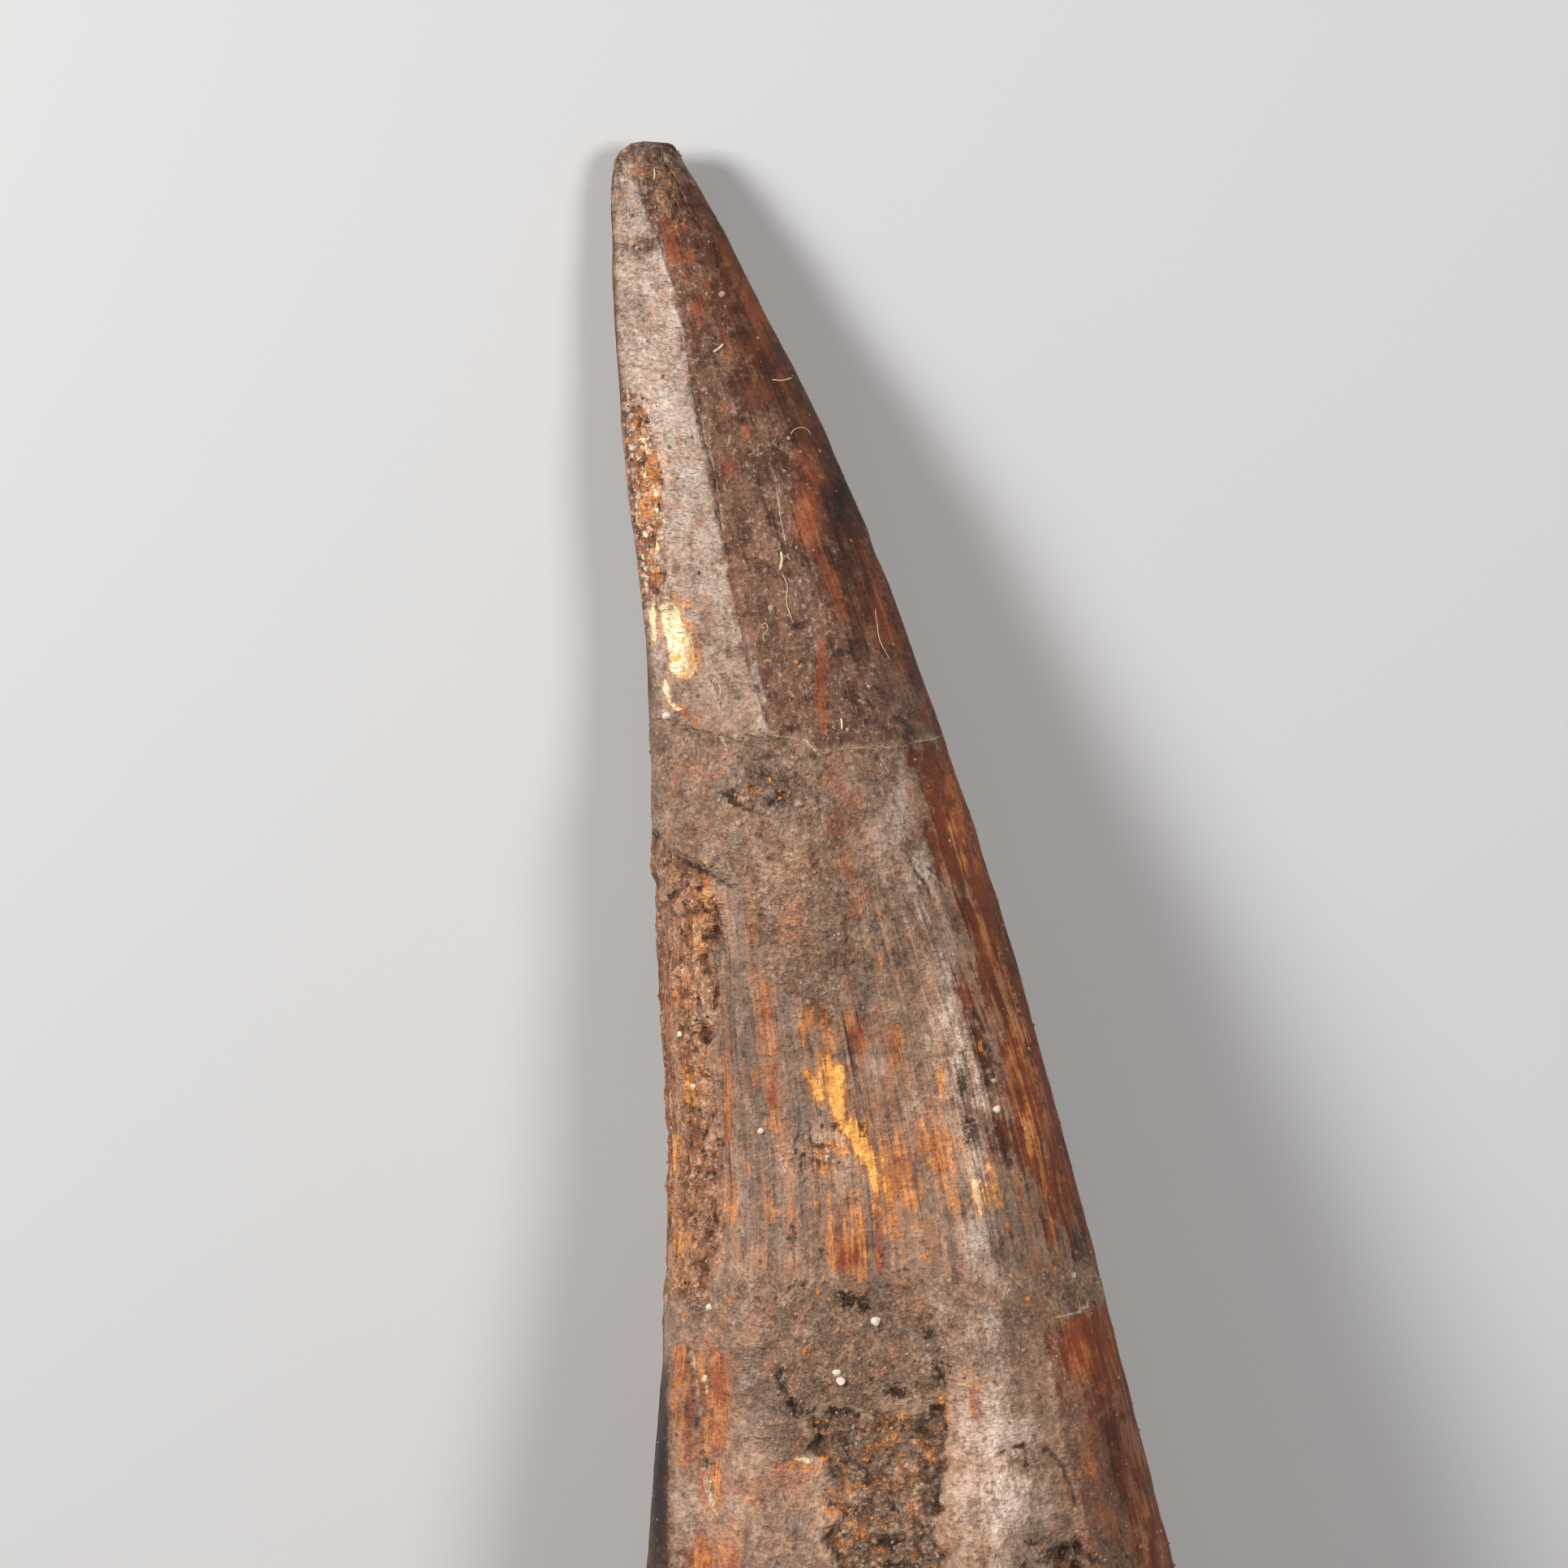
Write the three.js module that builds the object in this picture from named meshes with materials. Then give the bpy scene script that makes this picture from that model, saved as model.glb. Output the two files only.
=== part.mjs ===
// A large worn fossil tooth of a fish-eating dinosaur, lying on its side as a loose tooth lies.
//
// It is one solid: a slightly hooked cone with a blunt worn tip, one flat wear facet, a row of
// weathered breaks down its front and a broken root. Its length runs along X with the tip at +X,
// the hooked side faces +Y, the front face looks up and the underside rests on Z = 0.
// The origin is the middle of its footprint. Units are millimetres.

import * as THREE from "three";

const { clamp, lerp, smoothstep } = THREE.MathUtils;

// Driving dimensions
const LENGTH = 131; // from the tip to the broken root
const TIP_ROUND = 3.2; // length over which the blunt tip rounds off
const TIP_ROUNDNESS = 2.4; // exponent of the tip's rounding: 2 is an ellipse
const FRONT_DEPTH = 0.76; // height of the front face over the widest line, as a share of half the width
const FRONT_FLATNESS = [2.0, 2.45]; // exponent of the front's section, at the tip and at the root
const BACK_FLATNESS = 2.08; // exponent of the back's section
const REST_FLAT = 0.5; // how much the strip that it lies on is worn off

// The two edges of the front view, as [distance from the tip, offset from the tip's middle]
const HOOKED_EDGE = [
  [0, -2.5], [5, -2.7], [12, -2.45], [21, -1.9], [30, -0.75], [39, -0.05], [48, 0.1], [58, 0.55],
  [71, 1.35], [84, 1.15], [93, 0.4], [100.5, -0.25], [112, -1.6], [122, -2.3], [131, -2.1],
];
const ROUND_EDGE = [
  [0, 1.7], [2.6, 3.1], [5, 4.45], [12, 8.0], [21, 12.6], [30, 16.3], [39, 19.6], [48, 22.8],
  [58, 25.9], [71, 29.3], [84, 32.8], [93, 34.9], [100.5, 36.9], [112, 39.4], [122, 40.5], [131, 40.1],
];

// Depth of the back under the widest line. It grows evenly along the stretch that the tooth lies on.
const LYING_STRETCH = [24, 112];
const BACK_DEPTH = [
  [0, 2.2], [6, 3.5], [12, 4.6], [24, 6.3], [46, 9.1], [68, 11.9], [90, 14.7], [112, 17.5], [122, 18.3], [131, 18.2],
];

// The wear facet on the hooked side, from the tip to the first break
const FACET_WIDTH = [[0, 1.2], [6, 3.0], [12, 4.3], [17, 5.0], [23, 6.0], [28.5, 6.2], [34, 6.9], [41, 8.5]];
const FACET_END = 42;
const FACET_EDGE_HEIGHT = 0.1; // height of its outer edge over the widest line, as a share of the front's

// Breaks, fills and furrows of the front face. across is the distance from the hooked edge.
const RELIEF = [
  { name: "upper fill", along: [41.5, 53], across: [-2, 12.5], height: 0.45, soft: [1.6, 3.5] },
  { name: "weathered strip", along: [52, 79], across: [-3, 3.6], height: -0.45, soft: [2.5, 0.9] },
  { name: "edge furrow", along: [57, 77], across: [3.1, 4.6], height: -0.45, soft: [3, 0.8] },
  { name: "middle valley", along: [63, 84], across: [8, 15.5], height: -0.75, soft: [7, 3.5] },
  { name: "front ridge", along: [50, 112], across: [20.5, 25], height: 0.5, soft: [9, 3] },
  { name: "lower fill", along: [79, 87.5], across: [-2, 31], height: 0.35, soft: [2.4, 2.5] },
  { name: "sunken patch", along: [88, 107], across: [10, 20.2], height: -1.15, soft: [1.8, 1.3] },
  { name: "split", along: [84.5, 97.5], across: [2.9, 4.2], height: -0.7, soft: [3, 0.9] },
  { name: "pitted spot", along: [97.5, 103], across: [26, 30], height: -0.5, soft: [1.6, 1.4] },
];

// The keel along the front of the hooked side, where the flank behind it bulges past it
const KEEL = { from: 78, height: 0.7, angle: 158, spread: 7 };

// The crown's flutes on the back, and the edge where the crown's enamel stops
const FLUTES = { count: 11, height: 0.22, along: [14, 104], soft: 12 };
const ENAMEL_EDGE = { at: 111, wave: 1.8, step: 0.45, soft: 1.6 };

// The broken root: an uneven rim around a shallow hollow
const BREAK = { slant: 1.7, teeth: 0.7, hollow: 2.6, rim: 0.66, rimRound: 0.93 };

// How finely the solid is divided
const SEGMENTS = 88;
const SIDE_RINGS = 47;
const END_RINGS = [0.93, 0.8, 0.66, 0.52, 0.34, 0.17, 0];

// Value at x of a smooth line through [x, value] points
function follow(points, x) {
  const last = points.length - 1;
  let i = 0;
  while (i < last - 1 && x > points[i + 1][0]) i += 1;
  const [x0, y0] = points[i];
  const [x1, y1] = points[i + 1];
  const before = points[Math.max(i - 1, 0)];
  const after = points[Math.min(i + 2, last)];
  const span = x1 - x0;
  const slope0 = (y1 - before[1]) / (x1 - before[0]);
  const slope1 = (after[1] - y0) / (after[0] - x0);
  const u = clamp((x - x0) / span, 0, 1);
  const curved = new THREE.Vector4(
    2 * u ** 3 - 3 * u ** 2 + 1,
    u ** 3 - 2 * u ** 2 + u,
    -2 * u ** 3 + 3 * u ** 2,
    u ** 3 - u ** 2,
  );
  return curved.dot(new THREE.Vector4(y0, slope0 * span, y1, slope1 * span));
}

// 1 between the two ends, falling to 0 over the soft distance outside them
function within([from, to], soft, x) {
  return smoothstep(x, from - soft, from) * (1 - smoothstep(x, to, to + soft));
}

// The slow unevenness of a weathered surface, from -1 to 1
function unevenness(along, angle) {
  const a = Math.sin(0.31 * along + 2 * angle) * Math.cos(3 * angle - 0.11 * along);
  const b = Math.sin(0.57 * along - 3 * angle + 1.3) * Math.sin(5 * angle + 0.23 * along);
  return 0.6 * a + 0.4 * b;
}

// Height of the front face over the widest line, at an offset from the section's middle
function frontHeight(half, offset, exponent) {
  const share = clamp(Math.abs(offset) / half, 0, 1);
  return FRONT_DEPTH * half * (1 - share ** exponent) ** (1 / exponent);
}

// Raised and sunken forms at a place on the surface, outward in millimetres
function reliefAt(along, across, angle, facingUp) {
  let out = 0.16 * unevenness(along, angle) * smoothstep(along, 2, 20);
  if (facingUp) {
    for (const form of RELIEF) {
      const [softAlong, softAcross] = form.soft;
      out += form.height * within(form.along, softAlong, along) * within(form.across, softAcross, across);
    }
  } else {
    const flute = -Math.cos(2 * FLUTES.count * angle);
    out += FLUTES.height * flute * within(FLUTES.along, FLUTES.soft, along) * Math.abs(Math.sin(angle));
  }
  const keelTurn = (THREE.MathUtils.radToDeg(angle) - KEEL.angle) / KEEL.spread;
  out += KEEL.height * Math.exp(-keelTurn * keelTurn) * smoothstep(along, KEEL.from, KEEL.from + 12);
  const enamelStops = ENAMEL_EDGE.at + ENAMEL_EDGE.wave * Math.sin(3 * angle + 0.6);
  out -= ENAMEL_EDGE.step * smoothstep(along, enamelStops, enamelStops + ENAMEL_EDGE.soft);
  return out;
}

// How far the root reaches past its nominal end, by the angle and the share of the section's radius
function breakDepth(angle, share) {
  const coarse = 0.7 * Math.sin(3 * angle + 1.9) + 0.5 * Math.sin(8 * angle + 3 * Math.sin(angle));
  const jagged = coarse + 0.3 * Math.sin(17 * angle);
  const rim = BREAK.slant * Math.cos(angle + 0.7) + BREAK.teeth * jagged * smoothstep(share, 0.3, 0.9);
  const hollow = BREAK.hollow * (1 - smoothstep(share, BREAK.rim - 0.2, BREAK.rim + 0.12));
  const rounded = 0.5 * smoothstep(share, BREAK.rimRound - 0.1, 1);
  return rim * smoothstep(share, 0, 0.5) - hollow - rounded;
}

// A point of the surface. share is 1 on the side of the tooth and less on its two ends;
// angle runs from 0 at the round edge over the front at 90 degrees to the hooked edge at 180.
function surfacePoint(share, along, angle) {
  const hooked = follow(HOOKED_EDGE, along);
  const round = follow(ROUND_EDGE, along);
  const half = (round - hooked) / 2;
  const middle = (round + hooked) / 2;
  const facingUp = angle > 0 && angle < Math.PI;
  const growth = smoothstep(along, 0, LENGTH);
  const exponent = facingUp ? lerp(...FRONT_FLATNESS, growth) : BACK_FLATNESS;
  const depth = facingUp ? FRONT_DEPTH * half : follow(BACK_DEPTH, along);
  const squared = (value) => Math.sign(value) * Math.abs(value) ** (2 / exponent);
  let offset = half * squared(Math.cos(angle));
  let height = depth * squared(Math.sin(angle));

  const facetWidth = follow(FACET_WIDTH, Math.min(along, FACET_END));
  const facetInner = -half + facetWidth;
  if (facingUp && offset < facetInner) {
    const edge = FACET_EDGE_HEIGHT * FRONT_DEPTH * half;
    const top = frontHeight(half, facetInner, exponent);
    const flat = lerp(edge, top, clamp((offset + half) / facetWidth, 0, 1));
    const worn = 1 - smoothstep(along, FACET_END - 2, FACET_END + 9);
    height = lerp(height, Math.min(height, flat), worn);
  }

  const out = share > 0.999 ? reliefAt(along, offset + half, angle, facingUp) : 0;
  const outward = new THREE.Vector2(offset, height).normalize();
  offset = share * (offset + out * outward.x);
  height = share * (height + out * outward.y);
  const end = along > LENGTH - 1e-3 ? breakDepth(angle, share) : 0;
  return new THREE.Vector3(-(along + end), -(middle + offset), height);
}

// Share of the section's radius near the blunt tip
function tipShare(along) {
  const u = 1 - clamp(along / TIP_ROUND, 0, 1);
  return (1 - u ** TIP_ROUNDNESS) ** (1 / TIP_ROUNDNESS);
}

// Rings from the tip along the side, closer together at the tip, then over the broken root
function ringProfile() {
  const side = [];
  for (let i = 0; i <= SIDE_RINGS; i += 1) {
    const along = LENGTH * (i / SIDE_RINGS) ** 1.35;
    side.push(new THREE.Vector2(tipShare(along), along));
  }
  const end = END_RINGS.map((share) => new THREE.Vector2(share, LENGTH));
  return [...side, ...end];
}

// A lathed grid whose every point is then moved to the tooth's surface
function carveTooth() {
  const rings = ringProfile();
  const geometry = new THREE.LatheGeometry(rings, SEGMENTS);
  const place = geometry.getAttribute("position");
  for (let i = 0; i < place.count; i += 1) {
    const ring = rings[i % rings.length];
    const angle = (2 * Math.PI * (Math.floor(i / rings.length) % SEGMENTS)) / SEGMENTS;
    const point = surfacePoint(ring.x, ring.y, angle);
    place.setXYZ(i, point.x, point.y, point.z);
  }
  return geometry;
}

// Turns the tooth so that its underside lies level, and wears the strip that it lies on flat
function layDown(geometry) {
  const [nearTip, nearRoot] = LYING_STRETCH;
  const fall = follow(BACK_DEPTH, nearRoot) - follow(BACK_DEPTH, nearTip);
  geometry.rotateY(Math.atan2(fall, nearRoot - nearTip));
  geometry.computeBoundingBox();
  geometry.translate(0, 0, -geometry.boundingBox.min.z - REST_FLAT);
  const place = geometry.getAttribute("position");
  for (let i = 0; i < place.count; i += 1) place.setZ(i, Math.max(place.getZ(i), 0));
  geometry.computeBoundingBox();
  const middle = geometry.boundingBox.getCenter(new THREE.Vector3());
  geometry.translate(-middle.x, -middle.y, 0);
  geometry.computeVertexNormals();
  return geometry;
}

const fossil = new THREE.MeshStandardMaterial({ color: 0x6b4230, roughness: 0.5, metalness: 0 });

const tooth = new THREE.Mesh(layDown(carveTooth()), fossil);
tooth.name = "tooth";

const group = new THREE.Group();
group.add(tooth);

export default group;
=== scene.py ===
"""A large worn fossil tooth that lies on its side, with its weathered surface drawn over its solid.

It is laid out as an add-on: the panel in the sidebar lists one operator for each piece and one for
the stage. The surface is shaped in the tooth's own frame, in millimetres: along runs from the tip to
the root, across runs from the hooked side to the round side, and height rises out of the front face.
"""

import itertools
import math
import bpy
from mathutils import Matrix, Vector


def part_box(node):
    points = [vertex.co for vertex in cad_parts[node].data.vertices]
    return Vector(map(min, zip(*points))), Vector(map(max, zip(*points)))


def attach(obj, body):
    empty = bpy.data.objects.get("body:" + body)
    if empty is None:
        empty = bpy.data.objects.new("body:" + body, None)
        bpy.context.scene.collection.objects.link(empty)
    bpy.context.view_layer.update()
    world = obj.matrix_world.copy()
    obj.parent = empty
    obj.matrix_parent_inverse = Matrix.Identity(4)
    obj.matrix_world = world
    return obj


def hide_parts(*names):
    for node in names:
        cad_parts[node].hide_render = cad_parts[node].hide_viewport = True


bl_info = {
    "name": "Fossil tooth",
    "version": (1, 0, 0),
    "blender": (4, 5, 0),
    "location": "3D View > Sidebar > Fossil",
    "description": "Builds a worn fossil tooth with its sand grains and lint, and a stage to show it on",
    "category": "Add Mesh",
}

import bpy
import numpy as np
from bpy.props import FloatProperty, FloatVectorProperty, IntProperty, PointerProperty
from mathutils import Matrix, Vector
from mathutils.bvhtree import BVHTree

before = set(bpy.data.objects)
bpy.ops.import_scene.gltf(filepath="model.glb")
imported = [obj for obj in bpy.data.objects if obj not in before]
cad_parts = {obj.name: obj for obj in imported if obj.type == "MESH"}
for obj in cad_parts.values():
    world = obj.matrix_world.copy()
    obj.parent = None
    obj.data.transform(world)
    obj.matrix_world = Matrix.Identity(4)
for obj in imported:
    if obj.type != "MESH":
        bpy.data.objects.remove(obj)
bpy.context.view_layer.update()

MM = 0.001
NODE = "tooth"

# The photograph: its size, its scale at the tooth's widest line and the pixel where the tip begins
PHOTO_SIZE = 1932
PIXELS_PER_MM = 17.5
TIP_PIXEL = (800, 174)
TIP_OFFSET = -0.4  # from that pixel to the middle of the tip, mm

# The camera and the lights
SENSOR = 36.0  # mm
LIGHT_DISTANCE = 0.55  # m, from the middle of the view
VIEW_WIDTH = PHOTO_SIZE / PIXELS_PER_MM  # mm at the tooth's widest line
PHOTO_MIDDLE = PHOTO_SIZE / 2
MIDDLE_ACROSS = (PHOTO_MIDDLE - TIP_PIXEL[0]) / PIXELS_PER_MM
MIDDLE_ALONG = (PHOTO_MIDDLE - TIP_PIXEL[1]) / PIXELS_PER_MM

# The tooth: how it lies, and the stretches that its surface is drawn in, mm from the tip
REST_TILT = math.atan2(11.2, 88)  # its back deepens by 11.2 mm over the 88 mm that it lies on
TIP_ROUND = 3.2
SHOWN = 102.0
SQUARE_SECTIONS = 122.0
FAR = 200.0
AXES = np.array([
    [-math.cos(REST_TILT), 0, math.sin(REST_TILT)],
    [0, -1, 0],
    [math.sin(REST_TILT), 0, math.cos(REST_TILT)],
])

# How finely the solid is sampled, and how finely the surface is drawn
NET_ANGLES = 96
NET_TIP_RINGS = 6
NET_SIDE_RINGS = 56
NET_ROOT_SHARES = (0.35, 0.7, 0.93)
NET_END_SHARES = (0.93, 0.8, 0.66, 0.5, 0.34, 0.17)
RINGS = (312, 34, 18)  # in the shown stretch, in the rest of the side and over the broken root
FRONT_COLUMNS = 204
BACK_COLUMNS = 60
FRONT_TURN = math.radians(6)  # how far the fine front columns reach past each edge
FIBRE_RADIUS = 18.0  # mm, of the straight cylinder on which the grain's pattern is drawn
REACH = 3.0  # mm, beyond which a distance to a mark is no longer counted
LINE_REACH = 8.0  # the same for a crack or seam, in its half widths
LOWEST_FILM = -0.4  # the film's share where not even its ragged border reaches

# The outline of the tooth in the photograph, as [y, left x, right x]
OUTLINE = [
    (174, 790, 815), (176, 779, 823), (180, 772, 829), (188, 763, 834), (200, 757, 841), (220, 753, 854),
    (260, 753, 877), (300, 755, 900), (380, 757, 939), (460, 762, 981), (540, 767, 1020), (620, 775, 1055),
    (700, 786, 1087), (780, 795, 1117), (860, 799, 1145), (940, 802, 1173), (1020, 802, 1200),
    (1100, 806, 1226), (1180, 810, 1250), (1260, 814, 1273), (1340, 820, 1294), (1420, 823, 1314),
    (1500, 821, 1336), (1580, 820, 1357), (1660, 817, 1377), (1740, 811, 1397), (1820, 805, 1417),
    (1900, 799, 1438), (1960, 795, 1453),
]

# Lines of the front face, in photo pixels
FACET_START = 200
RIDGE_START = 1080  # the pale touches right of it lie on the round ridge and paint its highlight
FACET_EDGE = [
    (777, 200), (792, 247), (807, 283), (821, 312), (831, 350), (839, 395), (842, 430), (850, 470),
    (863, 520), (867, 540), (877, 577), (886, 635), (893, 675), (906, 730), (914, 775), (924, 820),
    (935, 857), (949, 893),
]
ENAMEL_EDGE = [
    (780, 884), (825, 886), (850, 897), (880, 905), (908, 913), (930, 905), (952, 906), (967, 908),
    (993, 912), (1001, 922), (1010, 931), (1025, 924), (1056, 922), (1080, 923), (1111, 920), (1122, 915),
    (1149, 911), (1180, 897),
]
STEP_EDGE = [
    (796, 1022), (808, 1027), (819, 1046), (836, 1054), (863, 1067), (881, 1078), (912, 1095),
]
FILM_EDGE = [
    (852, 200), (868, 260), (884, 300), (905, 400), (945, 470), (985, 540), (1008, 600), (1042, 700),
    (1088, 800), (1135, 850), (1150, 905), (1118, 935), (1138, 1000), (1174, 1100), (1187, 1150),
    (1199, 1200), (1226, 1300), (1246, 1400), (1290, 1500), (1342, 1560), (1350, 1600), (1312, 1622),
    (1306, 1660), (1330, 1700), (1352, 1750), (1362, 1800), (1372, 1850), (1382, 1960),
]

# Areas of the front face, as outlines in photo pixels
UPPER_FILL = [
    (780, 884), (850, 897), (908, 913), (967, 908), (1010, 931), (1030, 1000), (1060, 1090), (1060, 1200),
    (1010, 1280), (945, 1215), (912, 1110), (881, 1078), (836, 1054), (808, 1027), (780, 1020),
]
LOWER_FILL = [
    (790, 1590), (880, 1577), (960, 1562), (1040, 1585), (1150, 1565), (1230, 1590), (1300, 1552),
    (1390, 1575), (1345, 1606), (1305, 1621), (1250, 1690), (1176, 1690), (1165, 1730), (1057, 1732),
    (985, 1748), (1005, 1800), (935, 1790), (908, 1700), (895, 1645), (790, 1640),
]
SUNKEN_PATCH = [
    (979, 1745), (1004, 1744), (1020, 1734), (1045, 1730), (1062, 1742), (1085, 1737), (1110, 1746),
    (1140, 1736), (1166, 1728), (1171, 1756), (1162, 1780), (1172, 1806), (1160, 1834), (1168, 1862),
    (1156, 1890), (1166, 1925), (1150, 1970), (1158, 2020), (1128, 2074), (1090, 2086), (1066, 2050),
    (1040, 2034), (1046, 1990), (1020, 1960), (1030, 1925), (1012, 1896), (1026, 1868), (1010, 1846),
    (1020, 1822), (1012, 1803), (990, 1796), (984, 1778), (992, 1762),
]
PITTED_STRIP = [
    (760, 1030), (819, 1047), (863, 1070), (886, 1110), (880, 1300), (888, 1420), (889, 1545), (868, 1600),
    (760, 1600),
]
RUST_STRIP = [
    (740, 474), (790, 480), (806, 550), (818, 600), (822, 660), (828, 738), (818, 752), (740, 752),
]
TIP_CRUST = [
    (740, 160), (812, 165), (836, 225), (842, 290), (812, 300), (795, 262), (778, 225), (740, 232),
]
POLISHED = [
    (1305, 1622), (1337, 1609), (1390, 1600), (1540, 2010), (1500, 2110), (1440, 2060), (1400, 2090),
    (1342, 1960), (1325, 1850), (1300, 1760), (1290, 1680),
]
CHIP = [
    (819, 744), (830, 740), (838, 748), (841, 768), (850, 778), (857, 790), (859, 812), (858, 828),
    (849, 840), (838, 836), (828, 826), (823, 795), (818, 765),
]

# Marks on the front face, as [width, then the x and y of each point of its line] in photo pixels
GOLD_MARKS = [
    (7, 1017, 1298, 1021, 1316), (17, 1022, 1318, 1027, 1342, 1033, 1360), (10, 1036, 1316, 1033, 1338),
    (11, 1033, 1360, 1038, 1382), (12, 1040, 1382, 1050, 1390), (22, 1048, 1387, 1061, 1413),
    (17, 1062, 1408, 1075, 1436), (9, 1075, 1430, 1080, 1450, 1083, 1464), (12, 997, 1324, 1000, 1334),
    (11, 1004, 1340, 1009, 1352), (8, 846, 1312, 850, 1335, 852, 1362), (7, 861, 1084, 869, 1110, 870, 1140),
    (3, 866, 1160, 866, 1182), (5, 1216, 1428, 1220, 1454, 1229, 1486),
    (10, 1203, 1456, 1208, 1474, 1211, 1492), (11, 840, 1520, 842, 1548), (6, 832, 1400, 834, 1440),
    (10, 1018, 1795, 1030, 1800), (8, 1024, 1842, 1030, 1872), (7, 1032, 1905, 1044, 1925),
    (7, 1160, 1722, 1166, 1745, 1158, 1758), (7, 1110, 1745, 1120, 1762), (6, 1138, 1788, 1148, 1800),
    (4, 850, 772, 856, 800, 858, 824), (4, 845, 800, 851, 822, 846, 836), (3, 834, 738, 846, 744),
    (5, 1054, 1124, 1055, 1130),
]
RUST_MARKS = [
    (9, 826, 862, 838, 876), (9, 838, 872, 850, 882), (7, 850, 880, 862, 894),
    (12, 1013, 1236, 1015, 1262, 1024, 1292), (10, 997, 1232, 1003, 1262), (8, 1052, 1116, 1054, 1130),
    (9, 1079, 1124, 1083, 1136), (6, 1063, 1103, 1064, 1109), (5, 1080, 1174, 1083, 1194),
    (6, 1086, 1402, 1088, 1424), (8, 1100, 1400, 1110, 1433, 1116, 1486), (8, 1124, 1452, 1127, 1490),
    (9, 1132, 1384, 1136, 1425), (16, 1152, 1390, 1160, 1444), (6, 1170, 1396, 1173, 1444),
    (7, 1158, 1450, 1161, 1470), (5, 1156, 1316, 1162, 1352), (8, 1250, 1446, 1258, 1496),
    (6, 951, 1466, 954, 1508), (16, 996, 1414, 1006, 1426), (14, 1024, 1410, 1034, 1420),
    (13, 1010, 1436, 1022, 1444), (5, 841, 1556, 842, 1588), (8, 1148, 1760, 1156, 1772),
    (6, 925, 1848, 934, 1852), (6, 1140, 1545, 1143, 1558), (6, 1070, 1368, 1070, 1392),
    (18, 823, 264, 828, 300, 834, 322), (12, 845, 308, 850, 320), (9, 846, 336, 848, 344),
    (9, 857, 372, 858, 382), (9, 882, 290, 898, 322, 912, 352, 934, 400), (24, 988, 622, 998, 664),
    (12, 890, 405, 898, 440), (13, 1006, 675, 1024, 712, 1040, 764), (10, 897, 566, 899, 584),
    (8, 917, 522, 920, 541), (12, 985, 556, 1006, 596), (16, 1066, 650, 1084, 720, 1100, 790),
    (11, 1044, 1250, 1050, 1280), (11, 1058, 1266, 1061, 1302), (12, 1105, 1262, 1104, 1314),
    (8, 925, 1136, 929, 1204), (9, 938, 1214, 944, 1272), (7, 950, 1274, 952, 1300),
    (9, 950, 1330, 954, 1392), (8, 931, 1318, 930, 1356), (9, 894, 1310, 898, 1405),
    (7, 866, 1300, 868, 1340), (8, 900, 1448, 901, 1508), (7, 918, 1424, 922, 1449),
    (12, 1024, 1514, 1027, 1562), (13, 1041, 1500, 1043, 1572), (16, 1058, 1490, 1062, 1574),
    (12, 1080, 1478, 1085, 1568), (7, 1090, 1552, 1092, 1574), (7, 1116, 1400, 1124, 1440),
    (9, 1290, 1504, 1296, 1534), (10, 1240, 1510, 1246, 1530), (24, 838, 1664, 840, 1730, 846, 1800),
    (12, 864, 1668, 868, 1730), (22, 886, 1668, 890, 1726, 886, 1784), (14, 868, 1744, 872, 1790),
    (14, 862, 1796, 868, 1852), (13, 882, 1800, 887, 1852), (8, 955, 1804, 1008, 1812),
    (20, 864, 1896, 868, 1950), (24, 900, 1906, 902, 1950), (14, 1012, 790, 1014, 905),
    (7, 1200, 1275, 1210, 1320), (8, 1176, 1010, 1196, 1080), (8, 1230, 1170, 1262, 1290),
    (8, 1258, 1370, 1268, 1420), (10, 1199, 1706, 1205, 1750), (24, 1322, 1630, 1330, 1684),
    (14, 1376, 1720, 1382, 1738), (16, 1340, 1796, 1350, 1818), (26, 1390, 1762, 1398, 1800),
    (14, 1378, 1790, 1388, 1840), (8, 1334, 1750, 1338, 1765), (6, 893, 498, 892, 505),
    (5, 890, 511, 891, 516), (14, 1366, 1866, 1376, 1900), (9, 1388, 1866, 1394, 1912),
    (8, 1356, 1852, 1362, 1878), (8, 1404, 1840, 1416, 1900), (7, 1354, 1700, 1358, 1720),
    (9, 1094, 1744, 1098, 1768), (10, 1072, 1766, 1090, 1770), (9, 1050, 1775, 1058, 1800),
    (6, 1098, 1835, 1104, 1846),
]
CREAM_MARKS = [
    (6, 820, 838, 822, 852, 827, 864), (6, 826, 862, 833, 871, 840, 876), (8, 806, 738, 807, 790),
    (7, 868, 1694, 872, 1718), (5, 872, 1818, 880, 1856), (7, 796, 540, 800, 556), (5, 779, 297, 786, 301),
    (7, 984, 1795, 1008, 1803), (5, 808, 622, 812, 640), (4, 812, 668, 816, 700), (6, 806, 600, 810, 612),
    (6, 793, 580, 796, 590), (3, 828, 1398, 827, 1416), (3, 824, 1480, 823, 1520),
]
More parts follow.
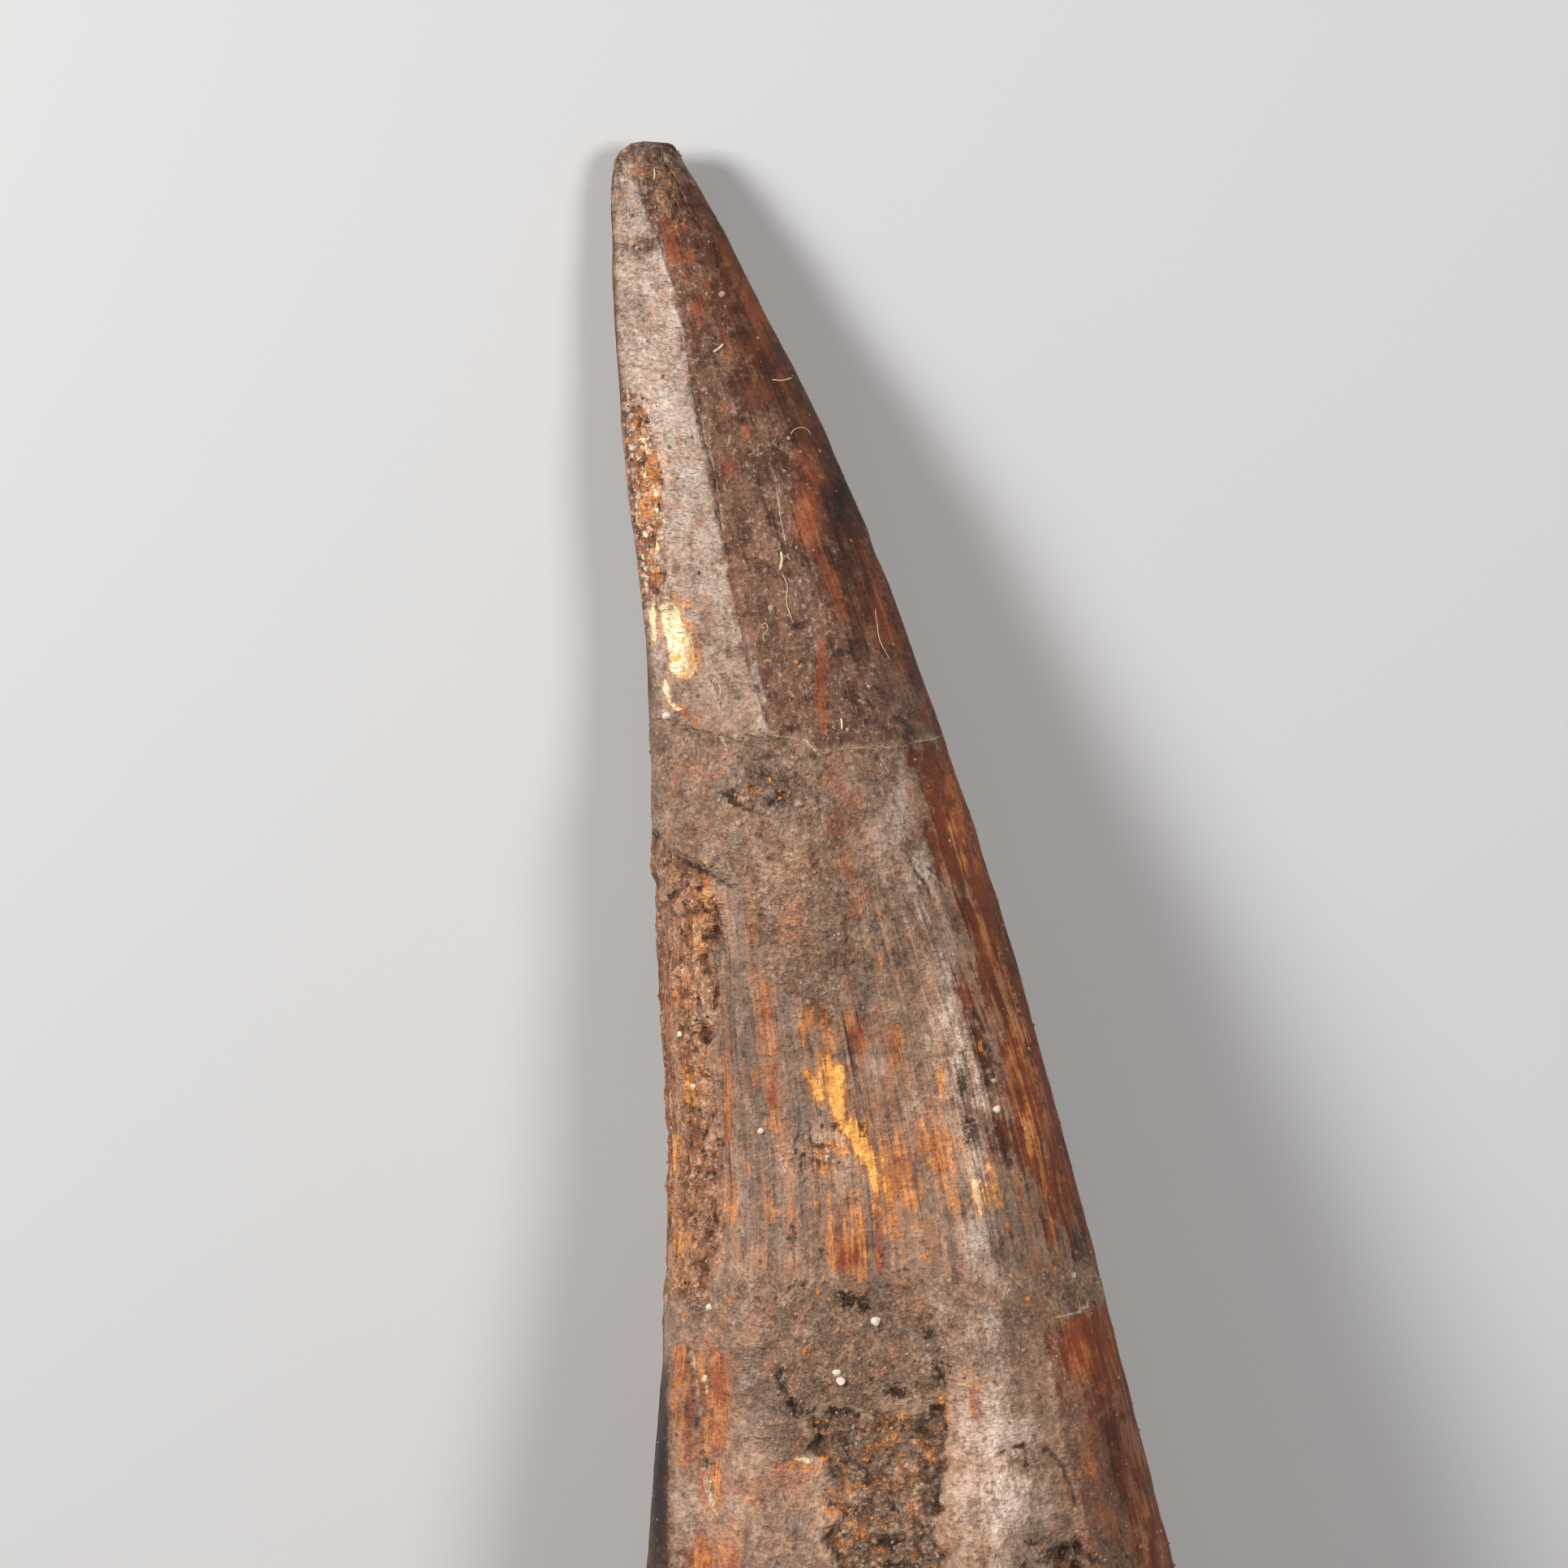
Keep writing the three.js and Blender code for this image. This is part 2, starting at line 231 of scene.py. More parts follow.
INK_MARKS = [
    (12, 897, 976, 901, 984), (7, 925, 988, 930, 995), (5, 902, 985, 916, 996, 928, 998),
    (6, 945, 990, 958, 982), (14, 1040, 1594, 1050, 1606), (6, 1044, 1606, 1060, 1614, 1072, 1612),
    (12, 1098, 1714, 1112, 1720), (9, 1158, 1680, 1164, 1690), (9, 1143, 1640, 1145, 1648),
    (10, 1148, 1842, 1156, 1860), (9, 1042, 1790, 1048, 1800), (14, 1086, 1897, 1108, 1906),
    (10, 963, 1686, 961, 1700, 966, 1716), (8, 974, 1728, 982, 1742), (6, 984, 1740, 1010, 1742),
    (5, 1010, 1742, 1040, 1734), (7, 804, 1026, 810, 1028), (6, 1268, 1898, 1273, 1903),
    (8, 1291, 1910, 1296, 1918), (9, 1318, 1906, 1330, 1910), (7, 1340, 1916, 1350, 1924),
    (6, 1300, 1926, 1306, 1934), (7, 1324, 1928, 1330, 1934), (7, 1256, 1928, 1262, 1936),
    (5, 1262, 1799, 1263, 1805), (5, 1258, 1781, 1266, 1784), (4, 1196, 1242, 1200, 1256),
    (6, 1182, 1322, 1188, 1346), (8, 1192, 1376, 1200, 1410), (5, 776, 262, 782, 268),
    (7, 868, 1796, 872, 1806), (4, 966, 1590, 990, 1584), (6, 780, 652, 788, 656),
    (5, 1062, 1388, 1068, 1402), (8, 1262, 1176, 1270, 1204), (8, 1250, 1130, 1254, 1150),
    (4, 1104, 886, 1120, 900), (5, 828, 1100, 822, 1108), (6, 1116, 1926, 1130, 1932),
    (8, 1050, 1860, 1062, 1868),
]

# Soft touches on the front face, as [x, y, half width, half height, strength] in photo pixels
# Dark stains, and painted shadow along the ledges and the right rim of the sunken patch
STAIN_AND_SHADE_TOUCHES = [
    (952, 984, 32, 12, 0.9), (902, 982, 10, 14, 0.8), (1034, 622, 17, 44, 0.78), (1044, 700, 16, 34, 0.7),
    (1008, 932, 16, 7, 0.7), (950, 933, 26, 7, 0.6), (945, 955, 46, 26, 0.6), (1000, 970, 40, 20, 0.35),
    (918, 958, 34, 26, 0.45), (1010, 1368, 14, 18, 0.45), (1066, 1384, 14, 14, 0.4),
    (1090, 1548, 10, 30, 0.45), (1078, 1140, 14, 44, 0.5), (1194, 1372, 7, 44, 0.8), (1184, 1330, 7, 14, 0.6),
    (1196, 1245, 7, 20, 0.5), (1262, 1190, 12, 36, 0.8), (1130, 975, 12, 50, 0.55), (1152, 1050, 11, 50, 0.5),
    (1184, 1130, 9, 40, 0.4), (985, 956, 24, 14, 0.45), (1240, 1000, 10, 40, 0.4), (1222, 1080, 10, 40, 0.5),
    (1300, 1400, 10, 60, 0.5), (1330, 1530, 14, 40, 0.8), (1256, 1450, 8, 24, 0.4), (1048, 1602, 34, 14, 1.0),
    (1082, 1610, 24, 10, 0.8), (1100, 1580, 46, 26, 0.6), (945, 1525, 32, 14, 0.5), (976, 1530, 12, 20, 0.6),
    (1012, 1542, 10, 26, 0.7), (966, 1592, 22, 8, 0.6), (1000, 1740, 34, 8, 0.7), (1105, 1718, 16, 8, 0.9),
    (1143, 1645, 10, 12, 0.8), (1156, 1690, 15, 24, 0.8), (1130, 1706, 24, 9, 0.6), (1092, 1744, 34, 9, 0.7),
    (1124, 1758, 30, 8, 0.6), (1160, 1760, 12, 12, 0.4), (988, 1776, 10, 12, 0.8), (1144, 1752, 26, 8, 0.7),
    (1150, 1852, 16, 18, 0.9), (1046, 1852, 14, 12, 0.8), (1030, 1884, 12, 12, 0.6),
    (1098, 1898, 38, 12, 0.9), (1060, 1906, 18, 8, 0.7), (1140, 1884, 16, 12, 0.8), (1110, 1928, 44, 10, 0.9),
    (1330, 1920, 30, 10, 0.45), (1286, 1914, 14, 8, 0.4), (1410, 1838, 12, 26, 0.7),
    (1382, 1900, 12, 30, 0.5), (1350, 1700, 10, 10, 0.7), (1262, 1790, 12, 6, 0.4), (985, 1770, 8, 20, 0.6),
    (890, 1395, 8, 60, 0.5), (870, 1500, 12, 50, 0.4), (893, 1300, 8, 40, 0.4), (810, 640, 10, 14, 0.5),
    (1086, 850, 20, 26, 0.5), (1062, 770, 18, 40, 0.5), (908, 615, 14, 30, 0.55), (942, 735, 20, 40, 0.35),
    (1350, 1700, 8, 9, 0.8), (846, 1720, 5, 60, 0.8), (866, 1800, 6, 40, 0.8), (1100, 1650, 60, 50, 0.45),
    (838, 217, 16, 30, 0.5), (858, 262, 10, 40, 0.5), (875, 310, 8, 30, 0.5), (779, 266, 8, 7, 0.8),
    (864, 1180, 14, 40, 0.4), (810, 1060, 12, 20, 0.4), (1058, 1450, 10, 30, 0.3), (1225, 1420, 12, 50, 0.4),
    (955, 500, 40, 40, 0.45),
]
GLOW_TOUCHES = [
    (1180, 1010, 14, 50, 0.9), (1170, 960, 14, 40, 0.8), (1205, 1080, 10, 50, 0.8), (1236, 1190, 10, 60, 0.9),
    (1250, 1290, 16, 60, 0.9), (1268, 1370, 16, 60, 0.8), (1280, 1290, 8, 40, 0.6), (1290, 1450, 18, 60, 0.7),
    (1296, 1520, 14, 30, 0.8), (1150, 1420, 40, 50, 0.8), (1110, 1450, 40, 60, 0.95),
    (1030, 1490, 50, 40, 0.85), (1046, 1540, 34, 46, 0.95), (1082, 1490, 34, 60, 0.8),
    (1080, 1320, 30, 50, 0.3), (1020, 1425, 44, 24, 0.7), (1054, 1128, 24, 22, 0.5), (848, 1340, 12, 40, 0.9),
    (862, 1110, 10, 44, 0.8), (838, 1530, 14, 56, 0.9), (897, 1360, 10, 70, 0.7), (900, 1480, 10, 50, 0.7),
    (828, 1440, 12, 120, 0.7), (826, 1240, 14, 60, 0.6), (846, 1710, 16, 66, 1.0), (862, 1790, 16, 60, 0.9),
    (882, 1730, 22, 70, 0.7), (868, 1920, 26, 40, 0.8), (905, 1925, 26, 30, 0.5), (955, 1825, 50, 34, 0.3),
    (1020, 1850, 14, 60, 0.9), (1090, 1770, 34, 24, 0.6), (1120, 1830, 40, 60, 0.4),
    (1060, 1885, 30, 30, 0.5), (1330, 1680, 40, 90, 0.7), (1340, 1800, 30, 110, 0.6),
    (1400, 1880, 20, 90, 0.4), (1200, 1740, 10, 36, 0.4), (792, 530, 14, 50, 0.9), (800, 610, 20, 60, 1.0),
    (810, 700, 14, 50, 0.9), (826, 790, 14, 60, 0.5), (798, 310, 30, 14, 0.4), (842, 280, 7, 7, 0.9),
    (848, 314, 7, 9, 0.9), (871, 352, 8, 10, 0.8), (860, 380, 7, 8, 0.7), (898, 340, 9, 60, 0.5),
    (930, 410, 8, 50, 0.4), (1000, 640, 14, 40, 0.6), (900, 575, 14, 26, 0.4), (893, 506, 5, 12, 0.4),
    (1085, 730, 14, 90, 0.4), (1110, 800, 12, 60, 0.5), (1140, 870, 12, 30, 0.6), (990, 1265, 12, 40, 0.9),
    (1040, 1450, 60, 60, 0.45), (1170, 1480, 50, 40, 0.5), (1085, 1180, 10, 30, 0.5),
    (1218, 1450, 18, 34, 0.7), (1310, 1600, 10, 30, 0.5), (790, 215, 20, 6, 0.7),
]
# Pale patches; those right of RIDGE_START paint the highlight on the round ridge over a paler film
PALE_AND_HIGHLIGHT_TOUCHES = [
    (1095, 1010, 34, 60, 0.5), (1132, 1080, 20, 60, 0.6), (1166, 1236, 13, 60, 0.7),
    (1180, 1300, 14, 60, 0.75), (1200, 1370, 13, 60, 0.6), (1206, 1440, 14, 50, 0.6), (1110, 990, 8, 60, 0.8),
    (1204, 1524, 22, 50, 0.85), (1215, 1570, 40, 20, 0.5), (890, 1150, 20, 60, 0.25),
    (1165, 1170, 20, 50, 0.5), (1215, 1640, 40, 40, 0.4), (1215, 1745, 50, 50, 0.7),
    (1236, 1770, 50, 36, 0.95), (1245, 1850, 56, 50, 0.95), (1270, 1920, 60, 34, 0.6),
    (1120, 1380, 16, 40, 0.25), (1012, 1422, 34, 20, 0.4), (830, 1160, 30, 90, 0.35),
    (850, 1260, 30, 30, 0.4), (935, 1760, 60, 40, 0.3), (850, 1860, 30, 60, 0.35), (940, 1880, 40, 40, 0.2),
    (890, 420, 20, 30, 0.3), (870, 880, 40, 24, 0.35), (995, 990, 20, 14, 0.4), (960, 900, 60, 12, 0.5),
    (1130, 860, 40, 40, 0.15), (1000, 1180, 50, 60, 0.1), (775, 200, 20, 20, 0.5), (860, 255, 6, 10, 0.5),
    (850, 230, 8, 14, 0.4),
]
BARE_TOUCHES = [
    (826, 290, 14, 36, 0.8), (856, 370, 18, 40, 0.7), (930, 480, 34, 40, 0.8), (992, 640, 18, 50, 0.8),
    (1022, 720, 12, 44, 0.7), (1010, 850, 14, 56, 0.5), (1036, 640, 18, 50, 0.6), (980, 860, 30, 40, 0.3),
    (1050, 780, 40, 60, 0.5), (1052, 1275, 16, 36, 0.6), (1030, 1020, 14, 60, 0.3), (1046, 1540, 26, 40, 0.6),
    (846, 1710, 16, 66, 0.7), (875, 1750, 26, 90, 0.45), (868, 1925, 40, 36, 0.6), (1150, 1420, 30, 40, 0.3),
    (1100, 1440, 24, 50, 0.4), (1250, 1350, 16, 90, 0.4), (1204, 1290, 8, 30, 0.5), (948, 1280, 10, 90, 0.4),
    (898, 1370, 8, 90, 0.5), (834, 1430, 12, 140, 0.4), (1000, 1270, 14, 30, 0.4), (890, 300, 30, 70, 0.5),
    (1080, 700, 30, 90, 0.5),
]
GREY_TOUCHES = [
    (825, 510, 22, 40, 0.9), (840, 610, 24, 60, 0.8), (862, 690, 16, 40, 0.7), (850, 560, 20, 60, 0.6),
    (908, 613, 14, 34, 0.8), (944, 725, 16, 40, 0.6), (1004, 722, 8, 34, 0.8), (1036, 640, 20, 50, 0.9),
    (1056, 760, 22, 50, 0.8), (958, 790, 22, 40, 0.5), (1036, 860, 16, 40, 0.5), (880, 960, 70, 50, 0.5),
    (960, 1000, 60, 40, 0.4), (970, 1230, 18, 60, 0.8), (916, 1225, 10, 60, 0.7), (928, 1320, 12, 70, 0.5),
    (966, 1310, 14, 60, 0.4), (1000, 1368, 20, 30, 0.8), (1104, 985, 14, 60, 0.3), (1140, 1080, 14, 50, 0.3),
    (930, 1480, 16, 60, 0.7), (975, 1490, 20, 60, 0.5), (930, 1640, 60, 50, 0.5), (940, 1720, 40, 50, 0.6),
    (1215, 1640, 36, 60, 0.6), (1270, 1700, 20, 50, 0.3), (990, 1880, 24, 50, 0.6), (1190, 1450, 14, 50, 0.5),
    (1150, 1350, 24, 30, 0.4), (870, 1250, 14, 20, 0.7), (1110, 1640, 50, 40, 0.5),
]
RED_TOUCHES = [
    (826, 290, 12, 36, 0.9), (850, 330, 14, 30, 0.5), (862, 385, 14, 40, 0.7), (905, 420, 20, 40, 0.4),
    (920, 532, 12, 20, 0.7), (899, 575, 12, 24, 0.8), (915, 660, 14, 36, 0.5), (912, 740, 12, 30, 0.6),
    (924, 800, 12, 50, 0.5), (990, 560, 16, 40, 0.7), (997, 640, 14, 40, 1.0), (1014, 700, 8, 34, 1.0),
    (1030, 745, 8, 28, 0.9), (985, 605, 20, 40, 0.6), (1085, 720, 14, 80, 0.6), (1120, 830, 12, 40, 0.5),
    (1014, 860, 12, 60, 0.8), (970, 870, 30, 40, 0.4), (975, 640, 14, 60, 0.4), (1054, 1272, 18, 34, 0.9),
    (1084, 1545, 14, 34, 0.8), (1102, 1285, 10, 34, 0.8), (976, 1215, 12, 26, 0.7), (944, 1240, 10, 60, 0.7),
    (952, 1350, 8, 50, 0.9), (928, 1170, 8, 50, 0.6), (1038, 1020, 24, 90, 0.85), (984, 1130, 24, 50, 0.5),
    (1012, 960, 14, 30, 0.4), (830, 1120, 30, 70, 0.5), (840, 1200, 30, 60, 0.5), (850, 1450, 36, 100, 0.5),
    (900, 1350, 10, 60, 0.6), (880, 1700, 24, 60, 0.8), (850, 1700, 14, 50, 0.7), (890, 1860, 24, 60, 0.5),
    (965, 1815, 40, 26, 0.5), (900, 1920, 30, 30, 0.6), (1200, 1735, 9, 44, 0.6), (1330, 1680, 40, 70, 0.5),
    (1350, 1830, 30, 100, 0.6), (1318, 1850, 14, 60, 0.5), (838, 560, 10, 16, 0.3), (860, 876, 40, 20, 0.5),
    (935, 400, 9, 60, 0.8), (962, 470, 9, 50, 0.8), (990, 520, 9, 40, 0.7), (1130, 860, 10, 50, 0.6),
    (1350, 1760, 20, 90, 0.7), (1330, 1900, 30, 60, 0.6), (872, 756, 14, 26, 0.8), (885, 850, 16, 30, 0.4),
    (870, 640, 10, 60, 0.3), (815, 340, 12, 30, 0.3), (805, 395, 10, 20, 0.3), (1176, 1010, 12, 60, 0.6),
    (1100, 1480, 30, 60, 0.5), (1290, 1500, 12, 40, 0.6), (1260, 1560, 60, 14, 0.4), (1110, 860, 30, 40, 0.4),
]
# Lightening and darkening, added up: most even out an area's colour, and some are painted light and shade:
# the highlight on the round ridge at 1235, 1810 and the shade down the flanks at 812, 1780 and 1380, 1800
LIFTS_AND_PAINTED_LIGHT = [
    (838, 790, 14, 40, 0.25), (784, 205, 30, 30, 0.30), (815, 420, 34, 130, 0.15), (850, 640, 30, 120, 0.10),
    (900, 340, 14, 60, -0.25), (820, 500, 40, 120, 0.05), (800, 620, 26, 130, 0.75),
    (960, 640, 60, 160, 0.20), (960, 1080, 70, 110, 0.42), (860, 970, 60, 50, 0.30),
    (846, 1180, 36, 110, 0.66), (846, 1450, 34, 150, 0.54), (1180, 1290, 34, 100, 0.66),
    (1198, 1400, 20, 80, 0.50), (1012, 1424, 38, 24, 1.10), (1308, 1720, 24, 70, 0.62),
    (1062, 1530, 18, 40, -0.20), (1050, 1480, 90, 70, 0.26), (920, 1620, 80, 60, 0.36),
    (1280, 1590, 50, 40, 0.30), (1090, 1850, 80, 90, 0.70), (1090, 1915, 60, 36, 0.20),
    (1235, 1810, 50, 110, 0.75), (920, 1830, 70, 110, 0.28), (812, 1780, 12, 130, -0.75),
    (1036, 610, 24, 80, -0.68), (1180, 1020, 20, 80, 0.10), (1265, 1360, 30, 80, 0.28),
    (852, 1730, 26, 90, -0.40), (1380, 1800, 24, 130, -0.52), (1244, 1150, 14, 80, -0.42),
    (1216, 1340, 16, 50, 0.20), (1040, 1370, 24, 70, 0.20), (870, 870, 40, 24, -0.05),
    (1110, 1640, 60, 40, 0.15), (1220, 1650, 50, 60, 0.38),
]

# Where the fill lies in fine folds, and where the surface is all crumbs
FOLD_TOUCHES = [
    (846, 985, 60, 50, 0.8), (880, 1050, 60, 60, 1.0), (940, 1080, 50, 60, 0.6), (880, 1150, 20, 60, 0.8),
    (925, 1690, 36, 60, 0.9), (935, 1636, 40, 40, 0.6), (950, 1770, 30, 30, 0.7), (830, 440, 40, 60, 0.4),
]
CRUMB_TOUCHES = [
    (940, 965, 56, 34, 0.95), (1012, 1424, 40, 24, 0.9), (1320, 1916, 64, 18, 0.9), (1050, 1602, 44, 18, 0.7),
    (800, 190, 34, 12, 0.9), (765, 210, 10, 50, 0.8), (795, 302, 30, 16, 0.9), (806, 650, 20, 20, 0.3),
    (1260, 1795, 26, 10, 0.5), (1320, 1590, 30, 24, 0.6), (970, 1700, 14, 24, 0.8),
    (1075, 1140, 22, 40, 0.35), (1110, 1700, 60, 40, 0.4), (865, 1250, 22, 20, 0.9), (880, 1085, 30, 16, 0.5),
    (950, 925, 40, 8, 0.6),
]

# Places of the relief, as x, y, half width and half height in photo pixels
CRUSTED_SPOT = (940, 955, 60, 46)
CLOD_SPOT = (1010, 1412, 36, 26)
PITTED_SPOT = (1308, 1912, 36, 16)
KNOB_SPOT = (866, 1256, 11, 11)

# The long ridges and the trough of the lower half, as [height in mm, x, half width]
LOW_FOLDS = [
    (0.55, 1222, 46), (0.30, 940, 50), (-0.35, 1100, 56),
]

# Cracks, seams and lips of the front face, and painted shadow lines under its steps and ledges, as
# [tone, half width in mm, line in photo pixels]: tone 0 is a dark crack or shadow line and 1 a pale edge,
# whose paleness is partly painted highlight
FRONT_LINES = [
    # The facet's step and the fill's step get painted shadow lines below them
    (0.9, 0.055, ENAMEL_EDGE[3:]), (0.2, 0.03, FACET_EDGE[7:13]), (0.3, 0.14, STEP_EDGE[1:]),
    (0.2, 0.05, [(925, 934), (950, 932), (980, 930)]),
    (0.8, 0.05, [(1080, 924), (1092, 946), (1098, 962), (1105, 984), (1111, 1006), (1115, 1046), (1135, 1067),
        (1165, 1095)]),
    (0.7, 0.04, [(1156, 1146), (1158, 1138), (1164, 1140), (1173, 1156)]),
    (0.45, 0.04, [(812, 186), (831, 218), (846, 256), (862, 280), (881, 305), (884, 327)]),
    (0.1, 0.045, [(976, 1408), (985, 1398), (983, 1386), (990, 1376), (996, 1386), (1008, 1384), (1016, 1393),
        (1028, 1389), (1044, 1400)]),
    (0.1, 0.045, [(974, 1414), (984, 1420), (979, 1430), (990, 1440), (984, 1450), (996, 1456)]),
    (0.2, 0.05, [(962, 1591), (975, 1586), (990, 1580), (1001, 1584)]),
    (0.1, 0.11, [(1229, 1791), (1240, 1786), (1252, 1782), (1264, 1785), (1281, 1783), (1291, 1787),
        (1298, 1793)]),
    (0.2, 0.07, [(1298, 1793), (1304, 1799), (1310, 1808), (1315, 1818), (1320, 1832), (1324, 1850)]),
    (0.3, 0.05, [(846, 1660), (850, 1700), (856, 1740), (860, 1786), (868, 1800), (875, 1832), (880, 1850)]),
    (1.0, 0.07, [(1303, 1623), (1312, 1620), (1328, 1618), (1330, 1608), (1335, 1613), (1338, 1606)]),
    # Painted shadow lines along the ledges of the sunken patch
    (0.2, 0.08, [(958, 1684), (962, 1704), (972, 1724), (984, 1742)]),
    (0.2, 0.05, [(1000, 1741), (1018, 1742), (1040, 1733)]),
    (0.8, 0.04, [(866, 550), (858, 560), (846, 566)]), (0.2, 0.03, [(821, 552), (845, 545), (862, 533)]),
    (0.3, 0.03, [(876, 838), (884, 852), (890, 872)]),
    (0.9, 0.05, [(862, 1800), (868, 1826), (876, 1856), (886, 1866)]),
    (0.75, 0.04, [(1140, 1350), (1158, 1352), (1176, 1338)]),
    (0.3, 0.03, [(850, 700), (862, 706), (872, 700)]), (0.75, 0.05, [(886, 908), (894, 918), (898, 930)]),
    (0.8, 0.04, [(948, 560), (955, 590), (962, 640), (972, 690)]),
    (0.8, 0.04, [(868, 540), (876, 560), (884, 600)]), (0.9, 0.05, [(853, 1660), (858, 1700), (864, 1745)]),
    (0.9, 0.06, [(986, 1798), (1000, 1800), (1012, 1806)]),
    (0.3, 0.05, [(1122, 1066), (1136, 1086), (1150, 1110)]),
    (0.8, 0.03, [(1090, 1000), (1106, 1030), (1124, 1064)]),
]

# Cracks round the sides, the back and the root, as [tone, half width in mm, line of (along, degrees)]
ROUND_LINES = [
    (0.8, 0.10, [(41.8, 178), (42.6, 192), (41.2, 208), (43.5, 226), (42.4, 250), (44.6, 271), (43.2, 300),
        (41.5, 330)]),
    (0.1, 0.12, [(44, 262), (52, 266), (60, 263), (69, 270), (75, 268)]),
    (0.1, 0.12, [(70, 215), (79, 219), (88, 216), (97, 222)]),
    (0.9, 0.10, [(82, 182), (83.5, 200), (81.8, 221), (84.6, 240), (83, 262)]),
    (0.0, 0.22, [(103, 60), (110, 63), (117, 61), (124, 66), (131, 64)]),
    (0.0, 0.20, [(112, 128), (119, 125), (126, 129), (132, 126)]),
    (0.0, 0.24, [(106, 205), (114, 209), (123, 206), (132, 211)]),
    (0.0, 0.20, [(109, 287), (117, 283), (124, 288), (132, 285)]),
    (0.1, 0.10, [(20, 250), (27, 254), (33, 251), (38, 256)]),
]

# Grains that lodge on the surface, as [x, y, size] in photo pixels, from white to orange
WHITE_GRAINS = [
    (822, 882, 12), (838, 1275, 8), (855, 1338, 8), (1228, 1366, 10), (875, 1610, 9), (1322, 1571, 7),
    (1031, 1692, 10), (1036, 1702, 11), (937, 1394, 8), (1079, 1628, 12),
]
CREAM_GRAINS = [
    (984, 991, 11), (910, 1015, 8), (1215, 1626, 7), (1170, 1577, 7), (1190, 1272, 6), (1205, 1326, 7),
    (1224, 1332, 7), (1307, 1575, 8), (889, 363, 8), (950, 749, 8), (971, 540, 5), (937, 1628, 7),
    (906, 1630, 7), (779, 300, 8), (786, 306, 7), (770, 186, 6), (1044, 899, 5), (1162, 1660, 5),
    (1200, 1566, 5), (1245, 1572, 5), (986, 1252, 7), (996, 1234, 6),
]
ORANGE_GRAINS = [
    (961, 984, 6), (1298, 1565, 7), (1325, 1543, 6), (1266, 1600, 8), (992, 1664, 7), (900, 1603, 7),
    (844, 1621, 6), (981, 816, 6), (805, 615, 6), (812, 580, 7), (784, 520, 7), (836, 914, 6), (832, 938, 5),
    (1008, 1593, 6), (1256, 1574, 5),
]

# Threads and splinters on the surface, as [diameter in mm, line in photo pixels]
THREADS = [
    (0.10, [(951, 468), (962, 469), (975, 466)]),
    (0.06, [(974, 535), (979, 529), (988, 527), (995, 530), (998, 536)]),
    (0.18, [(962, 680), (963, 690), (961, 702)]), (0.06, [(963, 706), (970, 722), (969, 742), (976, 764)]),
    (0.16, [(879, 434), (886, 429), (891, 424)]), (0.14, [(1036, 885), (1037, 892), (1037, 899)]),
    (0.05, [(938, 770), (944, 768), (946, 776), (940, 783), (942, 790)]),
    (0.05, [(884, 838), (888, 850), (886, 862)]), (0.10, [(806, 208), (807, 217), (806, 222)]),
    (0.05, [(1078, 750), (1080, 766), (1084, 790), (1096, 812)]),
]


def tooth_origin():
    """Where the tooth's own frame begins in the row's frame, mm."""
    corners = np.array([v.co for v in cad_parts[NODE].data.vertices]) / MM
    tip = corners[np.argmax(corners[:, 0])]
    return tip - TIP_OFFSET * AXES[1]


ORIGIN = tooth_origin()


def to_row(points):
    """Points of the tooth's frame, in millimetres, as points of the row's frame in metres."""
    return (ORIGIN + points @ AXES) * MM


def to_tooth(points):
    """Points of the row's frame, in metres, as points of the tooth's frame in millimetres."""
    return (points / MM - ORIGIN) @ AXES.T


def view_distance(scene):
    """How far the camera is from the tooth's widest line, mm."""
    return VIEW_WIDTH * scene.fossil_stage.lens / SENSOR


def smooth(low, high, value):
    """0 below low, 1 above high and an even curve between them."""
    share = np.clip((value - low) / (high - low), 0, 1)
    return share * share * (3 - 2 * share)


def scattered(cells, seed):
    """A fixed random number from 0 to 1 for each whole-numbered cell."""
    whole = cells.astype(np.int64) & 0xFFFFFFFF
    mixed = (whole[..., 0] * 73856093) ^ (whole[..., 1] * 19349663) ^ (whole[..., 2] * 83492791)
    mixed = (mixed + seed * 2654435761) & 0xFFFFFFFF
    mixed = (((mixed >> 15) ^ mixed) * 0x2C1B3C6D) & 0xFFFFFFFF
    mixed = (((mixed >> 12) ^ mixed) * 0x297A2D39) & 0xFFFFFFFF
    return ((mixed >> 15) ^ mixed) / 0xFFFFFFFF


def noise(points, size, seed=0):
    """Smooth noise from -1 to 1 whose lumps are about as large as size, a number or one for each axis."""
    place = points / np.asarray(size)
    cell = np.floor(place)
    part = place - cell
    part = part * part * (3 - 2 * part)
    total = np.zeros(points.shape[:-1])
    for corner in itertools.product((0, 1), repeat=3):
        share = np.prod(np.where(np.array(corner) == 1, part, 1 - part), axis=-1)
        total += share * scattered(cell + corner, seed)
    return 2 * total - 1


def rough(points, size, seed=0):
    """Noise with two finer layers on it, from about -1 to 1."""
    size = np.asarray(size)
    finer = 0.5 * noise(points, size / 2.1, seed + 1) + 0.25 * noise(points, size / 4.3, seed + 2)
    return (noise(points, size, seed) + finer) / 1.4


def lumps(points, size, seed=0):
    """Rounded lumps packed side by side: 1 on top of each and 0 in the gaps, and each one's number."""
    place = points / size
    home = np.floor(place)
    nearest = np.full(points.shape[:-1], 9.0)
    number = np.zeros(points.shape[:-1])
    for step in itertools.product((-1, 0, 1), repeat=3):
        cell = home + step
        middle = cell + np.stack([scattered(cell, seed + k) for k in range(3)], axis=-1)
        gap = np.linalg.norm(place - middle, axis=-1)
        closer = gap < nearest
        nearest = np.where(closer, gap, nearest)
        number = np.where(closer, scattered(cell, seed + 3), number)
    return np.clip(1 - nearest * nearest / 0.7, 0, 1), number


